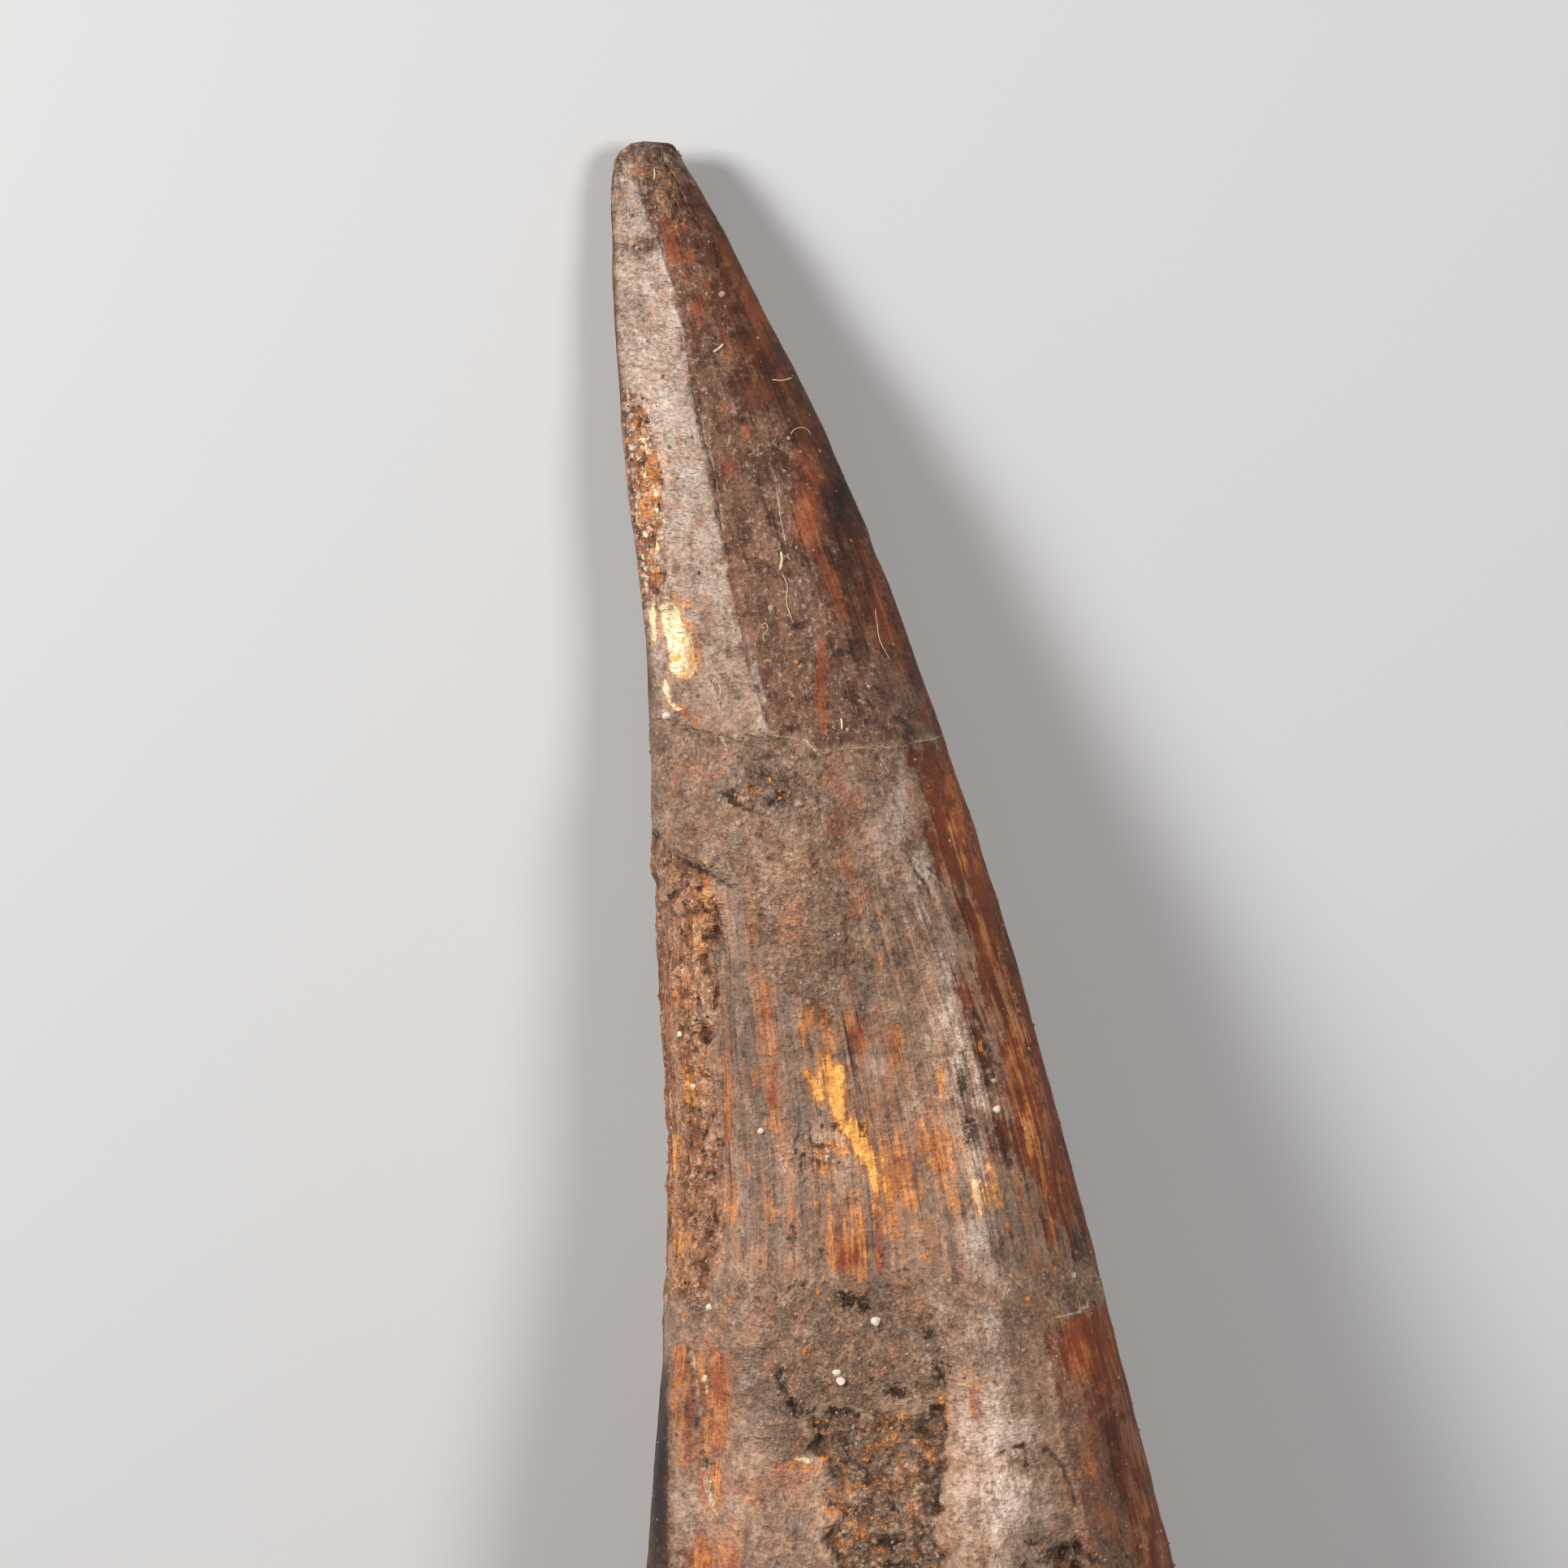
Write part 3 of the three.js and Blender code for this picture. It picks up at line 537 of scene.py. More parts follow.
def line_distance(u, v, line):
    """Distance from (u, v) to a line of points, with a minus sign on its right side, and without sign."""
    nearest = np.full(u.shape, 1e9)
    signed = np.full(u.shape, 1e9)
    for (u0, v0), (u1, v1) in zip(line, line[1:]):
        du, dv = u1 - u0, v1 - v0
        share = np.clip(((u - u0) * du + (v - v0) * dv) / (du * du + dv * dv), 0, 1)
        gap = np.hypot(u - u0 - share * du, v - v0 - share * dv)
        side = np.sign(du * (v - v0) - dv * (u - u0))
        closer = gap < nearest
        nearest = np.where(closer, gap, nearest)
        signed = np.where(closer, side * gap, signed)
    return signed, nearest


def inside_outline(u, v, outline):
    """True where (u, v) is inside a closed outline."""
    found = np.zeros(u.shape, bool)
    for (u0, v0), (u1, v1) in zip(outline, outline[1:] + outline[:1]):
        if v0 == v1:
            continue
        crosses = (v0 > v) != (v1 > v)
        found ^= crosses & (u < (u1 - u0) * (v - v0) / (v1 - v0) + u0)
    return found


class Net:
    """The solid's surface, sampled as rings of points from the tip to the middle of the broken root."""

    def __init__(self):
        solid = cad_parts[NODE].data
        solid.calc_loop_triangles()
        corners = to_tooth(np.array([v.co for v in solid.vertices], float))
        self.tree = BVHTree.FromPolygons(corners.tolist(), [t.vertices[:] for t in solid.loop_triangles])
        self.angles = np.arange(NET_ANGLES) * 2 * math.pi / NET_ANGLES
        tip = np.tile((0, TIP_OFFSET, 0), (NET_ANGLES, 1))
        rounding = TIP_ROUND * (1 - np.cos(np.arange(1, NET_TIP_RINGS) * math.pi / 2 / NET_TIP_RINGS))
        straight = np.linspace(TIP_ROUND, SQUARE_SECTIONS, NET_SIDE_RINGS)
        sides = [self.ring(along, self.reach(along)) for along in (*rounding, *straight)]
        self.rows = np.array([tip, *sides, *self.root_rows(sides[-1])])

    def meet(self, start, towards):
        """The point where a ray first meets the solid, or None."""
        return self.tree.ray_cast(Vector(start), Vector(towards))[0]

    def reach(self, along):
        """The middle of a section and how far it reaches from there at each angle, mm."""
        left = self.meet((along, -FAR, 0), (0, 1, 0)).y
        right = self.meet((along, FAR, 0), (0, -1, 0)).y
        middle = (left + right) / 2
        front = self.meet((along, middle, FAR), (0, 0, -1)).z
        back = -self.meet((along, middle, -FAR), (0, 0, 1)).z
        rise = np.where(np.sin(self.angles) > 0, front, back)
        out = np.stack([-np.cos(self.angles) * (right - left) / 2, np.sin(self.angles) * rise], axis=-1)
        return middle, out

    def ring(self, along, section, fallback=None):
        """The points of the side at one distance along, or at one for each angle."""
        middle, out = section
        points = []
        for k, (place, (across, height)) in enumerate(zip(np.broadcast_to(along, len(out)), out)):
            start = (place, middle + 2 * across, 2 * height)
            found = self.meet(start, (0, -across, -height))
            points.append(found if found is not None else (place, *fallback[k][1:]))
        return np.array(points, float)

    def root_rows(self, last):
        """The rings from the last square section over the jagged rim to the middle of the broken end."""
        middle, out = self.reach(SQUARE_SECTIONS)
        side = last[:, 1:] - (middle, 0)

        def depth(share):
            ends = [(FAR, middle + share * a, share * h) for a, h in side]
            return np.array([self.meet(end, (-1, 0, 0)).x for end in ends])

        rim = depth(0.96)
        rows = []
        for share in NET_ROOT_SHARES:
            along = SQUARE_SECTIONS + share * (rim - SQUARE_SECTIONS)
            rows.append(self.ring(along, (middle, out), last))
        rows.append(np.column_stack([rim, rows[-1][:, 1:]]))
        for share in NET_END_SHARES:
            rows.append(np.column_stack([depth(share), side * share + (middle, 0)]))
        rows.append(np.tile((self.meet((FAR, middle, 0), (-1, 0, 0)).x, middle, 0), (NET_ANGLES, 1)))
        return rows


def curve_through(rows, at, closed):
    """A smooth curve through rows of values, read at fractional row numbers."""
    base = np.floor(at).astype(int)
    share = (at - base).reshape(-1, *[1] * (rows.ndim - 1))
    steps = [base + k for k in (-1, 0, 1, 2)]
    picked = [s % len(rows) if closed else np.clip(s, 0, len(rows) - 1) for s in steps]
    before, start, end, after = (rows[p] for p in picked)
    slope = end - before
    bend = 2 * before - 5 * start + 4 * end - after
    twist = -before + 3 * start - 3 * end + after
    return start + 0.5 * share * (slope + share * (bend + share * twist))


def column_angles():
    """The angles of the fine columns: many over the front, fewer over the back."""
    front = np.linspace(-FRONT_TURN, math.pi + FRONT_TURN, FRONT_COLUMNS, endpoint=False)
    back = np.linspace(math.pi + FRONT_TURN, 2 * math.pi - FRONT_TURN, BACK_COLUMNS, endpoint=False)
    return np.concatenate([front, back])


def fit_outline(points):
    """Moves the shown sides in or out, so that the tooth's outline is the photograph's."""
    along = points[:, 0, 0]
    y = TIP_PIXEL[1] + along * PIXELS_PER_MM
    rows, left, right = np.array(OUTLINE, float).T
    wanted = [(np.interp(y, rows, side) - TIP_PIXEL[0]) / PIXELS_PER_MM for side in (left, right)]
    across = points[..., 1]
    now = [across.min(axis=1), across.max(axis=1)]
    shown = smooth(0.0, 0.1, along) * (1 - smooth(98, 106, along))
    settled = smooth(1.5, 4.0, along)
    soft = np.hanning(15)[1:-1]
    soft /= soft.sum()
    shift = []
    for goal, side in zip(wanted, now):
        moves = (goal - side) * shown
        even = np.convolve(np.pad(moves, 6, mode="edge"), soft, mode="valid")
        shift.append((moves + (even - moves) * settled)[:, None])
    share = (across - now[0][:, None]) / np.maximum(now[1] - now[0], 1e-6)[:, None]
    fitted = points.copy()
    fitted[..., 1] += shift[0] * (1 - share) + shift[1] * share
    return fitted


class Skin:
    """The tooth's fine surface as a grid of points, and where each point lies on it."""

    def __init__(self, net, distance):
        step = np.linalg.norm(np.diff(net.rows[:, NET_ANGLES // 4], axis=0), axis=-1)
        travelled = np.concatenate([[0], np.cumsum(step)])
        along_front = net.rows[:, NET_ANGLES // 4, 0]
        side_end = len(net.rows) - len(NET_END_SHARES) - 2
        shown_end = np.interp(SHOWN, along_front[:side_end], travelled[:side_end])
        stops = [0, shown_end, travelled[side_end], travelled[-1]]
        wanted = [np.linspace(a, b, n, endpoint=False) for a, b, n in zip(stops, stops[1:], RINGS)]
        at = np.interp(np.concatenate([*wanted, [stops[-1]]]), travelled, np.arange(len(travelled)))
        rings = curve_through(net.rows, at, closed=False)
        self.angle = column_angles()
        columns = (self.angle / (2 * math.pi) * NET_ANGLES) % NET_ANGLES
        turned = curve_through(np.swapaxes(rings, 0, 1), columns, closed=True)
        self.points = fit_outline(np.swapaxes(turned, 0, 1))
        self.past_rim = np.clip(at - side_end, 0, None)[:, None] * np.ones(len(columns))
        self.along, self.across, self.height = np.moveaxis(self.points, -1, 0)
        left = self.across.min(axis=1, keepdims=True)
        width = np.ptp(self.across, axis=1, keepdims=True) + 1e-6
        self.from_left = self.across - left
        self.from_right = width - self.from_left
        grow = distance / (distance - self.height)
        self.x = PHOTO_MIDDLE + (self.across - MIDDLE_ACROSS) * PIXELS_PER_MM * grow
        self.y = PHOTO_MIDDLE + (self.along - MIDDLE_ALONG) * PIXELS_PER_MM * grow
        self.on_front = (self.height > 0) & (self.past_rim == 0)
        turn = self.angle[None, :] * np.ones_like(self.along)
        self.inward = 1 - np.interp(self.past_rim, range(len(NET_END_SHARES) + 2), (1, *NET_END_SHARES, 0))
        radius = FIBRE_RADIUS * (1 - self.inward)
        self.fibre = np.stack([radius * np.cos(turn), radius * np.sin(turn), self.along], axis=-1)
        self.turn = np.degrees(turn) % 360
        self.normals = self.grid_normals()

    def grid_normals(self):
        """Outward directions at the grid's points."""
        around = np.roll(self.points, -1, axis=1) - np.roll(self.points, 1, axis=1)
        down = np.gradient(self.points, axis=0)
        normals = np.cross(around, down)
        normals[0] = (-1, 0, 0)
        normals[-1] = (1, 0, 0)
        length = np.linalg.norm(normals, axis=-1, keepdims=True)
        normals = normals / np.maximum(length, 1e-9)
        middle = self.points.mean(axis=1, keepdims=True)
        outward = np.sum(normals[1:-1] * (self.points - middle)[1:-1])
        if outward < 0:
            normals[1:-1] *= -1
        return normals

    def area(self, outline, past_edge=0.0):
        """Distance into an area of the front face, mm: above 0 inside it. It may reach past the edges."""
        _, gap = line_distance(self.x, self.y, outline + outline[:1])
        signed = np.where(inside_outline(self.x, self.y, outline), gap, -gap) / PIXELS_PER_MM
        return self.fade_behind(signed, past_edge)

    def fade_behind(self, signed, past_edge=0.0):
        """The same distance, turned to outside behind the front face."""
        behind = np.minimum(signed, self.height + past_edge)
        front = np.where(self.height < 0, behind, signed)
        return np.clip(np.where(self.past_rim > 0, -REACH, front), -REACH, REACH)

    def marks(self, marks):
        """Distance into the nearest of a list of tapered marks, mm: above 0 inside one."""
        deepest = np.full(self.x.shape, -REACH)
        for width, *numbers in marks:
            line = list(zip(numbers[::2], numbers[1::2]))
            _, gap = line_distance(self.x, self.y, line)
            top, bottom = line[0][1] - width / 2, line[-1][1] + width / 2
            share = np.clip((self.y - top) / max(abs(bottom - top), 1), 0, 1)
            taper = 0.35 + 0.65 * np.sqrt(np.clip(4 * share * (1 - share), 0, 1))
            deepest = np.maximum(deepest, (width / 2 * taper - gap) / PIXELS_PER_MM)
        return self.fade_behind(deepest)

    def spot(self, x, y, half_width, half_height):
        """1 at a place of the front face, fading to 0 around it."""
        gap = ((self.x - x) / half_width) ** 2 + ((self.y - y) / half_height) ** 2
        return np.exp(-gap) * self.on_front

    def touched(self, touches):
        """The strongest of a list of soft touches on the front face."""
        total = np.zeros(self.x.shape)
        for *place, strength in touches:
            total = np.maximum(total, strength * self.spot(*place))
        return total

    def lifted(self, touches):
        """The sum of a list of soft touches on the front face."""
        return sum(strength * self.spot(*place) for *place, strength in touches)

    def lines(self):
        """For the nearest crack, seam or painted shadow line: its side and distance, in half widths, and its
        tone.
        """
        side = np.full(self.x.shape, LINE_REACH)
        far = np.full(self.x.shape, LINE_REACH)
        tone = np.zeros(self.x.shape)
        radius = np.hypot(self.from_left + self.from_right, 1) / 2
        x, y = self.x / PIXELS_PER_MM, self.y / PIXELS_PER_MM
        drawn = []
        for shade, half_width, line in FRONT_LINES:
            path = [(a / PIXELS_PER_MM, b / PIXELS_PER_MM) for a, b in line]
            drawn.append((shade, half_width, path, x, y, self.on_front))
        for shade, half_width, line in ROUND_LINES:
            row = np.argmin(np.abs(self.along.mean(axis=1) - np.mean([a for a, _ in line])))
            local = radius[row, 0]
            path = [(a, math.radians(b) * local) for a, b in line]
            around = np.radians(self.turn) * local
            drawn.append((shade, half_width, path, self.along, around, self.past_rim == 0))
        for shade, half_width, path, u, v, allowed in drawn:
            signed, gap = line_distance(u, v, path)
            closer = (gap / half_width < far) & allowed
            side = np.where(closer, signed / half_width, side)
            far = np.where(closer, gap / half_width, far)
            tone = np.where(closer, shade, tone)
        return side, far, tone


def along_line(x, line):
    """The y of a photo line at each x."""
    xs, ys = zip(*line)
    return np.interp(x, xs, ys)


def across_line(y, line):
    """The x of a photo line at each y."""
    xs, ys = zip(*line)
    return np.interp(y, ys, xs)


def kept(signed):
    """A signed distance, cut off where it is no longer counted."""
    return np.clip(signed, -REACH, REACH)


def surface_areas(skin):
    """Signed distances, mm, into each kind of surface."""
    wander = rough(skin.points, 2.2, 5)
    turn = np.radians(skin.turn)

    # The worn facet
    to_enamel_edge = (along_line(skin.x, ENAMEL_EDGE) - skin.y) / PIXELS_PER_MM
    to_facet_edge = (across_line(skin.y, FACET_EDGE) - skin.x) / PIXELS_PER_MM
    facet = np.minimum(to_facet_edge, to_enamel_edge)
    facet = np.minimum(facet, (skin.y - FACET_START) / PIXELS_PER_MM)
    facet += 0.26 * rough(skin.points, 1.5, 81) * smooth(900, 780, skin.y)
    facet = skin.fade_behind(np.minimum(facet, skin.from_left - 0.10 - 0.12 * wander))

    # The enamel: the crown, the polished flank and what is left of it on the back
    back_edge = 42.5 + 1.3 * np.sin(3 * turn) + 0.8 * wander
    crown = np.where(skin.height > 0, to_enamel_edge, back_edge - skin.along)
    back = 1.2 - np.abs(noise(skin.fibre, (9, 9, 26), 21)) * 6 - 1.2 * smooth(0, 3, skin.height)
    back = np.where(skin.height < 1.5, np.minimum(back + 1.3, skin.along - 46), -REACH)
    enamel = np.maximum.reduce([crown, skin.area(POLISHED), back])

    # The fills, on the front, on the back and in the root's hollow
    back_fill = rough(skin.fibre, (7, 7, 15), 33) * 3 - 1.5
    back_fill = np.where((skin.height < -1) & (skin.along > 38), back_fill, -REACH)
    fills = [skin.area(UPPER_FILL, 1.5) + 0.8 * wander, skin.area(LOWER_FILL, 2.0) + 0.8 * wander, back_fill]
    core = 18 * (skin.inward - 0.46) + 2.0 * rough(skin.points, 5, 73)
    fill = np.maximum(kept(np.maximum.reduce(fills)), np.where(skin.past_rim > 0, core, -REACH))

    # The knobbly strip, the sunken patch, the crust on the tip and the bare root
    strip = np.maximum(skin.area(PITTED_STRIP, 2.5), skin.area(RUST_STRIP, 1.0))
    torn = 0.5 * wander + 2.4 * smooth(0, -1, skin.height) * rough(skin.points, 4.5, 75)
    sunken = skin.area(SUNKEN_PATCH) + 0.8 * wander + 0.5 * rough(skin.points, 0.8, 35)
    tip_top = np.where(skin.along < 1.6, 1.0, -REACH)
    root_edge = 111 + 1.8 * np.sin(3 * (math.pi - turn) + 0.6)
    return {
        "facet": facet,
        "enamel": kept(enamel),
        "fill": kept(fill),
        "strip": kept(strip + torn),
        "sunken": kept(sunken),
        "crust": kept(np.maximum(skin.area(TIP_CRUST, 1.0), tip_top)),
        "root": kept(skin.along - root_edge + 0.5 * wander + skin.past_rim),
        "gold": skin.marks(GOLD_MARKS),
        "rust": skin.marks(RUST_MARKS),
        "cream": np.maximum(skin.marks(CREAM_MARKS), skin.area(CHIP)),
        "ink": skin.marks(INK_MARKS),
    }


def front_shares(skin, on, crown, past_edge):
    """How strongly the front has the film, each tinge of it, the stain, the streaks and the crumbs.

    The pale tinge holds a painted highlight on the ridge, and the dark one painted shade along the edges.
    """
    x, y = skin.x, skin.y
    # The low left side that turns away from the light: bare of film, and darkened as painted shade
    low_left = smooth(1630, 1700, y) * smooth(834, 814, x)
    low_left *= smooth(2070, 1950, y + 70 * rough(skin.points, 4, 77))

    film = 1 - 1.25 * smooth(-3.0, 4.0, past_edge)
    film *= (1 - 0.3 * crown) * (1 - 0.9 * low_left) * smooth(-0.1, 0.2, skin.from_left)
    film = np.maximum(film, np.maximum(on["fill"], on["crust"]) * 1.3 - 0.35 - low_left)
    film *= 1 - skin.touched(BARE_TOUCHES)
    low_flank = smooth(0, 0.6, skin.area(POLISHED)) * smooth(1670, 1730, y)
    film = np.maximum(film, 0.66 * low_flank - 0.4)

    worn = on["facet"] * (1 - 0.55 * smooth(560, 880, y) - 0.25 * smooth(850, 905, y))
    # A thin band along the left silhouette, darkened as painted shade
    rim_width = 0.25 + 0.35 * smooth(430, 520, y) * (1 - smooth(760, 860, y))
    rim = smooth(0, -0.2, skin.from_left - rim_width) * smooth(5, 8, skin.along)
    # A band along the right edge, darkened as painted shade
    far_right = smooth(2.2, 0.4, skin.from_right) * (y < 1560) * (y > 420)
    far_right *= 0.68 - 0.18 * smooth(820, 960, y)
    flank = smooth(-1.0, 1.5, past_edge) * (0.35 + 0.65 * smooth(860, 1000, y))
    # The painted highlight on the round ridge, which also makes it streakier and glossier
    ridge = skin.touched([touch for touch in PALE_AND_HIGHLIGHT_TOUCHES if touch[0] > RIDGE_START])

    below = smooth(1060, 1130, y) * (1 - smooth(1540, 1600, y))
    on_flank = 0.8 * smooth(-2.5, 0.5, past_edge) * smooth(900, 1200, y)
    streaky = np.maximum.reduce([0.38 * crown * smooth(220, 480, y), below, on_flank, 0.7 * ridge])
    strip_crumbs = on["strip"] * (0.2 + 0.35 * smooth(900, 1000, y))
    ahead = smooth(0.5, -1.5, past_edge)
    return {
        "film": film,
        # Pale: the worn facet, pale patches, and the painted highlight on the ridge
        "pale": np.maximum(worn, skin.touched(PALE_AND_HIGHLIGHT_TOUCHES)),
        # Dark: stains from the touches, and painted shade on the left rim, the low left side and the right
        # edge
        "dark": np.maximum.reduce([skin.touched(STAIN_AND_SHADE_TOUCHES), 0.95 * low_left, 0.6 * rim, far_right]),
        "glow": np.maximum(skin.touched(GLOW_TOUCHES), 0.45 * flank),
        "grey": skin.touched(GREY_TOUCHES),
        "red": skin.touched(RED_TOUCHES),
        "streaky": streaky * (1 - 0.8 * on["fill"]),
        "folded": np.maximum(skin.touched(FOLD_TOUCHES), 0.1),
        "crumbly": np.maximum.reduce(
            [skin.touched(CRUMB_TOUCHES), on["sunken"], strip_crumbs, 0.5 * on["crust"]]
        ),
        "crown": np.maximum(crown, 0.7 * smooth(-0.5, 1.0, skin.area(POLISHED))),
        "gloss": np.clip(0.9 * ridge + 0.35 * on["facet"] + (0.3 * crown + 0.15) * ahead, 0, 1),
    }


def back_shares(skin, on, enamel):
    """The same on the sides, the back and the root, which the photograph doesn't show."""
    crumbling = 0.6 * smooth(0.3, 0.7, rough(skin.points, 4, 61)) * on["fill"]
    return {
        "film": 0.36 + 0.80 * rough(skin.points, 11, 41) + 0.25 * smooth(104, 112, skin.along),
        "pale": 0.22 + 0.5 * rough(skin.points, 9, 43),
        "dark": smooth(0.3, 0.8, rough(skin.points, 5, 47)) * 0.8,
        "glow": smooth(0.0, 0.7, rough(skin.fibre, (9, 9, 30), 53)) * 0.85,
        "grey": smooth(0.0, 0.7, rough(skin.points, 8, 57)) * 0.8,
        "red": smooth(0.0, 0.7, rough(skin.fibre, (7, 7, 20), 59)) * 0.8,
        "streaky": (1 - 0.8 * on["fill"]) * smooth(8, 40, skin.along),
        "folded": smooth(0.0, 0.6, rough(skin.points, 9, 71)) * on["fill"],
        "crumbly": np.maximum(crumbling, 0.9 * smooth(0.36, 0.56, skin.inward)),
        "crown": 0.5 * smooth(0, 1, enamel),
        "gloss": np.zeros(skin.x.shape),
    }


def surface_shares(skin, areas):
    """How strongly each point has each of those, from 0 to 1, and how far it is lightened or darkened."""
    front = smooth(-1.5, 1.0, skin.height) * (skin.past_rim == 0)
    past_edge = (skin.x - across_line(skin.y, FILM_EDGE)) / PIXELS_PER_MM
    past_edge += 2.4 * rough(skin.fibre, (1.6, 1.6, 3.5), 83) * smooth(860, 940, skin.y)
    on = {name: smooth(-0.3, 0.5, value) for name, value in areas.items()}
    crown = (along_line(skin.x, ENAMEL_EDGE) - skin.y) / PIXELS_PER_MM
    crown = smooth(0, 0.6, crown) * (1 - on["facet"])
    shown = front_shares(skin, on, crown, past_edge)
    behind = back_shares(skin, on, areas["enamel"])
    # How far each point is lightened or darkened, including painted highlight and shade
    shares = {"lift": 1 + front * skin.lifted(LIFTS_AND_PAINTED_LIGHT)}
    for name in shown:
        lowest = LOWEST_FILM if name == "film" else 0
        shares[name] = np.clip(shown[name] * front + behind[name] * (1 - front), lowest, 1)
    return shares


def band(value, middle, half_width):
    """1 on a line, fading to 0 on both sides of it."""
    return np.exp(-(((value - middle) / half_width) ** 2))


def fading(value, reach):
    """1 up to 0, then falling away over a reach."""
    return np.exp(-np.clip(value, 0, None) / reach)


def relief_of(skin, areas, depth):
    """How far each point stands out of the even surface, mm. Also the lines that are cut into it."""
    on = {name: smooth(-0.12, 0.12, value) for name, value in areas.items()}
    x, y, grain, front = skin.x, skin.y, skin.points, skin.on_front
    side = 1 - smooth(0, 1, skin.past_rim)
    relief = 0.05 * rough(skin.fibre, (1.1, 1.1, 9), 1) * side * smooth(10, 40, skin.along)
    relief += 0.12 * rough(grain, 3.2, 2) * side

    # The long ridges and the trough
    for height, middle, half_width in LOW_FOLDS:
        relief += height * smooth(1380, 1620, y) * front * band(x, middle, half_width)
    upper = smooth(940, 1040, y) * (1 - smooth(1380, 1500, y)) * front
    relief += 0.35 * upper * band(x, 1000 + 0.42 * (y - 800), 30)

    # The leathery facet, its step and the enamel's, the rough fills and the hollow under theirs
    leather, leather_number = lumps(grain, 1.5, 63)
    relief += 0.16 * on["facet"] * (1 - smooth(480, 560, y)) * (leather - 0.6)
    step = smooth(430, 500, y) * (1 - 0.6 * smooth(700, 800, y)) * fading(areas["facet"], 2.5)
    relief += on["facet"] * (0.30 * step + 0.06 * rough(grain, 0.9, 3))
    step = fading(areas["enamel"], 3.0) * smooth(20, 40, skin.along)
    step *= smooth(0.3, 1.5, skin.from_right) * smooth(0.2, 1.8, skin.from_left)
    relief += 0.22 * on["enamel"] * step
    relief += 0.16 * on["fill"] * rough(grain, 1.0, 4)
    relief += 0.34 * skin.spot(*CRUSTED_SPOT) * rough(grain, 0.9, 6)
    under = y - along_line(x, STEP_EDGE)
    relief -= 0.45 * fading(under, 60) * smooth(918, 890, x) * smooth(0, 5, under) * front

    # The knobbly strip, the crust on the tip, the furrow, the clods and the knob
    upper = on["strip"] * (1 - smooth(800, 900, y)) * smooth(0.3, 1.2, skin.from_left)
    relief += 0.40 * upper * (leather * (0.4 + leather_number) - 0.4)
    knobs, number = lumps(grain + 0.3 * rough(grain, 0.9, 9)[..., None], 0.95, 11)
    inner = 0.35 + 0.65 * smooth(0.2, 1.4, skin.from_left)
    relief += on["strip"] * inner * (0.42 * (knobs * (0.4 + number) - 0.45) + 0.16 * rough(grain, 1.8, 12))
    relief += on["crust"] * (0.35 * (knobs * number - 0.2) + 0.12 * rough(grain, 0.8, 27))
    clods, number = lumps(grain, 1.0, 15)
    furrow = band(x, 872 + 6 * np.sin(y / 45), 13) * smooth(1090, 1150, y)
    furrow *= (1 - smooth(1500, 1570, y)) * front
    relief += furrow * (0.6 * clods * (0.3 + number) - 0.45)
    relief += 0.9 * skin.spot(*CLOD_SPOT) * (clods * (0.35 + 0.65 * number) - 0.5)
    relief += skin.spot(*KNOB_SPOT) * (0.55 + 0.25 * rough(grain, 0.6, 8))

    # The sunken patch with its lip, the broken root, the pits and the places that lost a chip
    bed, number = lumps(grain + 0.4 * rough(grain, 0.9, 17)[..., None], 0.9, 19)
    relief += on["sunken"] * (0.3 * (bed * (0.3 + number) - 0.4) + 0.25 * rough(grain, 1.6, 18))
    relief -= 0.3 * smooth(-0.7, 0.7, areas["sunken"])
    relief += 0.12 * fading(-areas["sunken"], 1.2) * (1 - on["sunken"]) * (y > 1700) * front
    relief += (1 - side) * 0.45 * (bed * number - 0.3 + 0.4 * rough(grain, 2.5, 31))
    pits, number = lumps(grain, 0.8, 23)
    relief -= 0.7 * skin.spot(*PITTED_SPOT) * pits * (number > 0.35)
    torn = areas["ink"] + 0.35 * rough(grain, 0.6, 7) - 0.05
    relief -= 0.34 * smooth(-0.1, 0.3, torn) * (0.5 + 0.5 * on["fill"])
    relief -= 0.25 * on["cream"] * smooth(0.1, 0.4, areas["cream"]) * (y < 840)
    relief -= 0.25 * band(y, 1088, 12) * band(skin.from_left, 0, 1.2)

    # The bare root, the cracks and seams, and the edge that is already drawn
    root = 0.22 * rough(skin.fibre, (2.2, 2.2, 12), 29) + 0.10 * rough(grain, 1.2, 30)
    relief += on["root"] * side * root
    lines = skin.lines()
    line_side, far, tone = lines
    relief -= 0.30 * band(line_side, 0, 1.6) * band(far, 0, 2.5) * (tone < 0.5)
    held = smooth(0, 0.6, skin.along)
    drawn_edge = smooth(420, 470, y) * (1 - smooth(990, 1020, y))
    held *= 1 - 0.75 * drawn_edge * smooth(0.9, 0.2, skin.from_left)
    return relief * depth * held, lines


def even_out(values, times):
    """The same values, averaged with their neighbours on the grid."""
    for _ in range(times):
        values = (np.roll(values, 1, 1) + 2 * values + np.roll(values, -1, 1)) / 4
        padded = np.pad(values, ((1, 1), (0, 0)), mode="edge")
        values = (padded[:-2] + 2 * values + padded[2:]) / 4
    return values


def grid_faces(rows, columns):
    """Faces of a closed grid whose first and last rows have shrunk to one point each."""
    faces = []
    last = 1 + (rows - 2) * columns
    for c in range(columns):
        faces.append((0, 1 + (c + 1) % columns, 1 + c))
        faces.append((last, last - columns + c, last - columns + (c + 1) % columns))
    for r in range(rows - 3):
        start = 1 + r * columns
        for c in range(columns):
            d = (c + 1) % columns
            faces.append((start + c, start + d, start + columns + d, start + columns + c))
    return faces


def without_poles(values):
    """Grid values as one list, with a single value for each of the two end points."""
    flat = values[1:-1].reshape(-1, *values.shape[2:])
    return np.concatenate([values[:1, 0], flat, values[-1:, 0]])


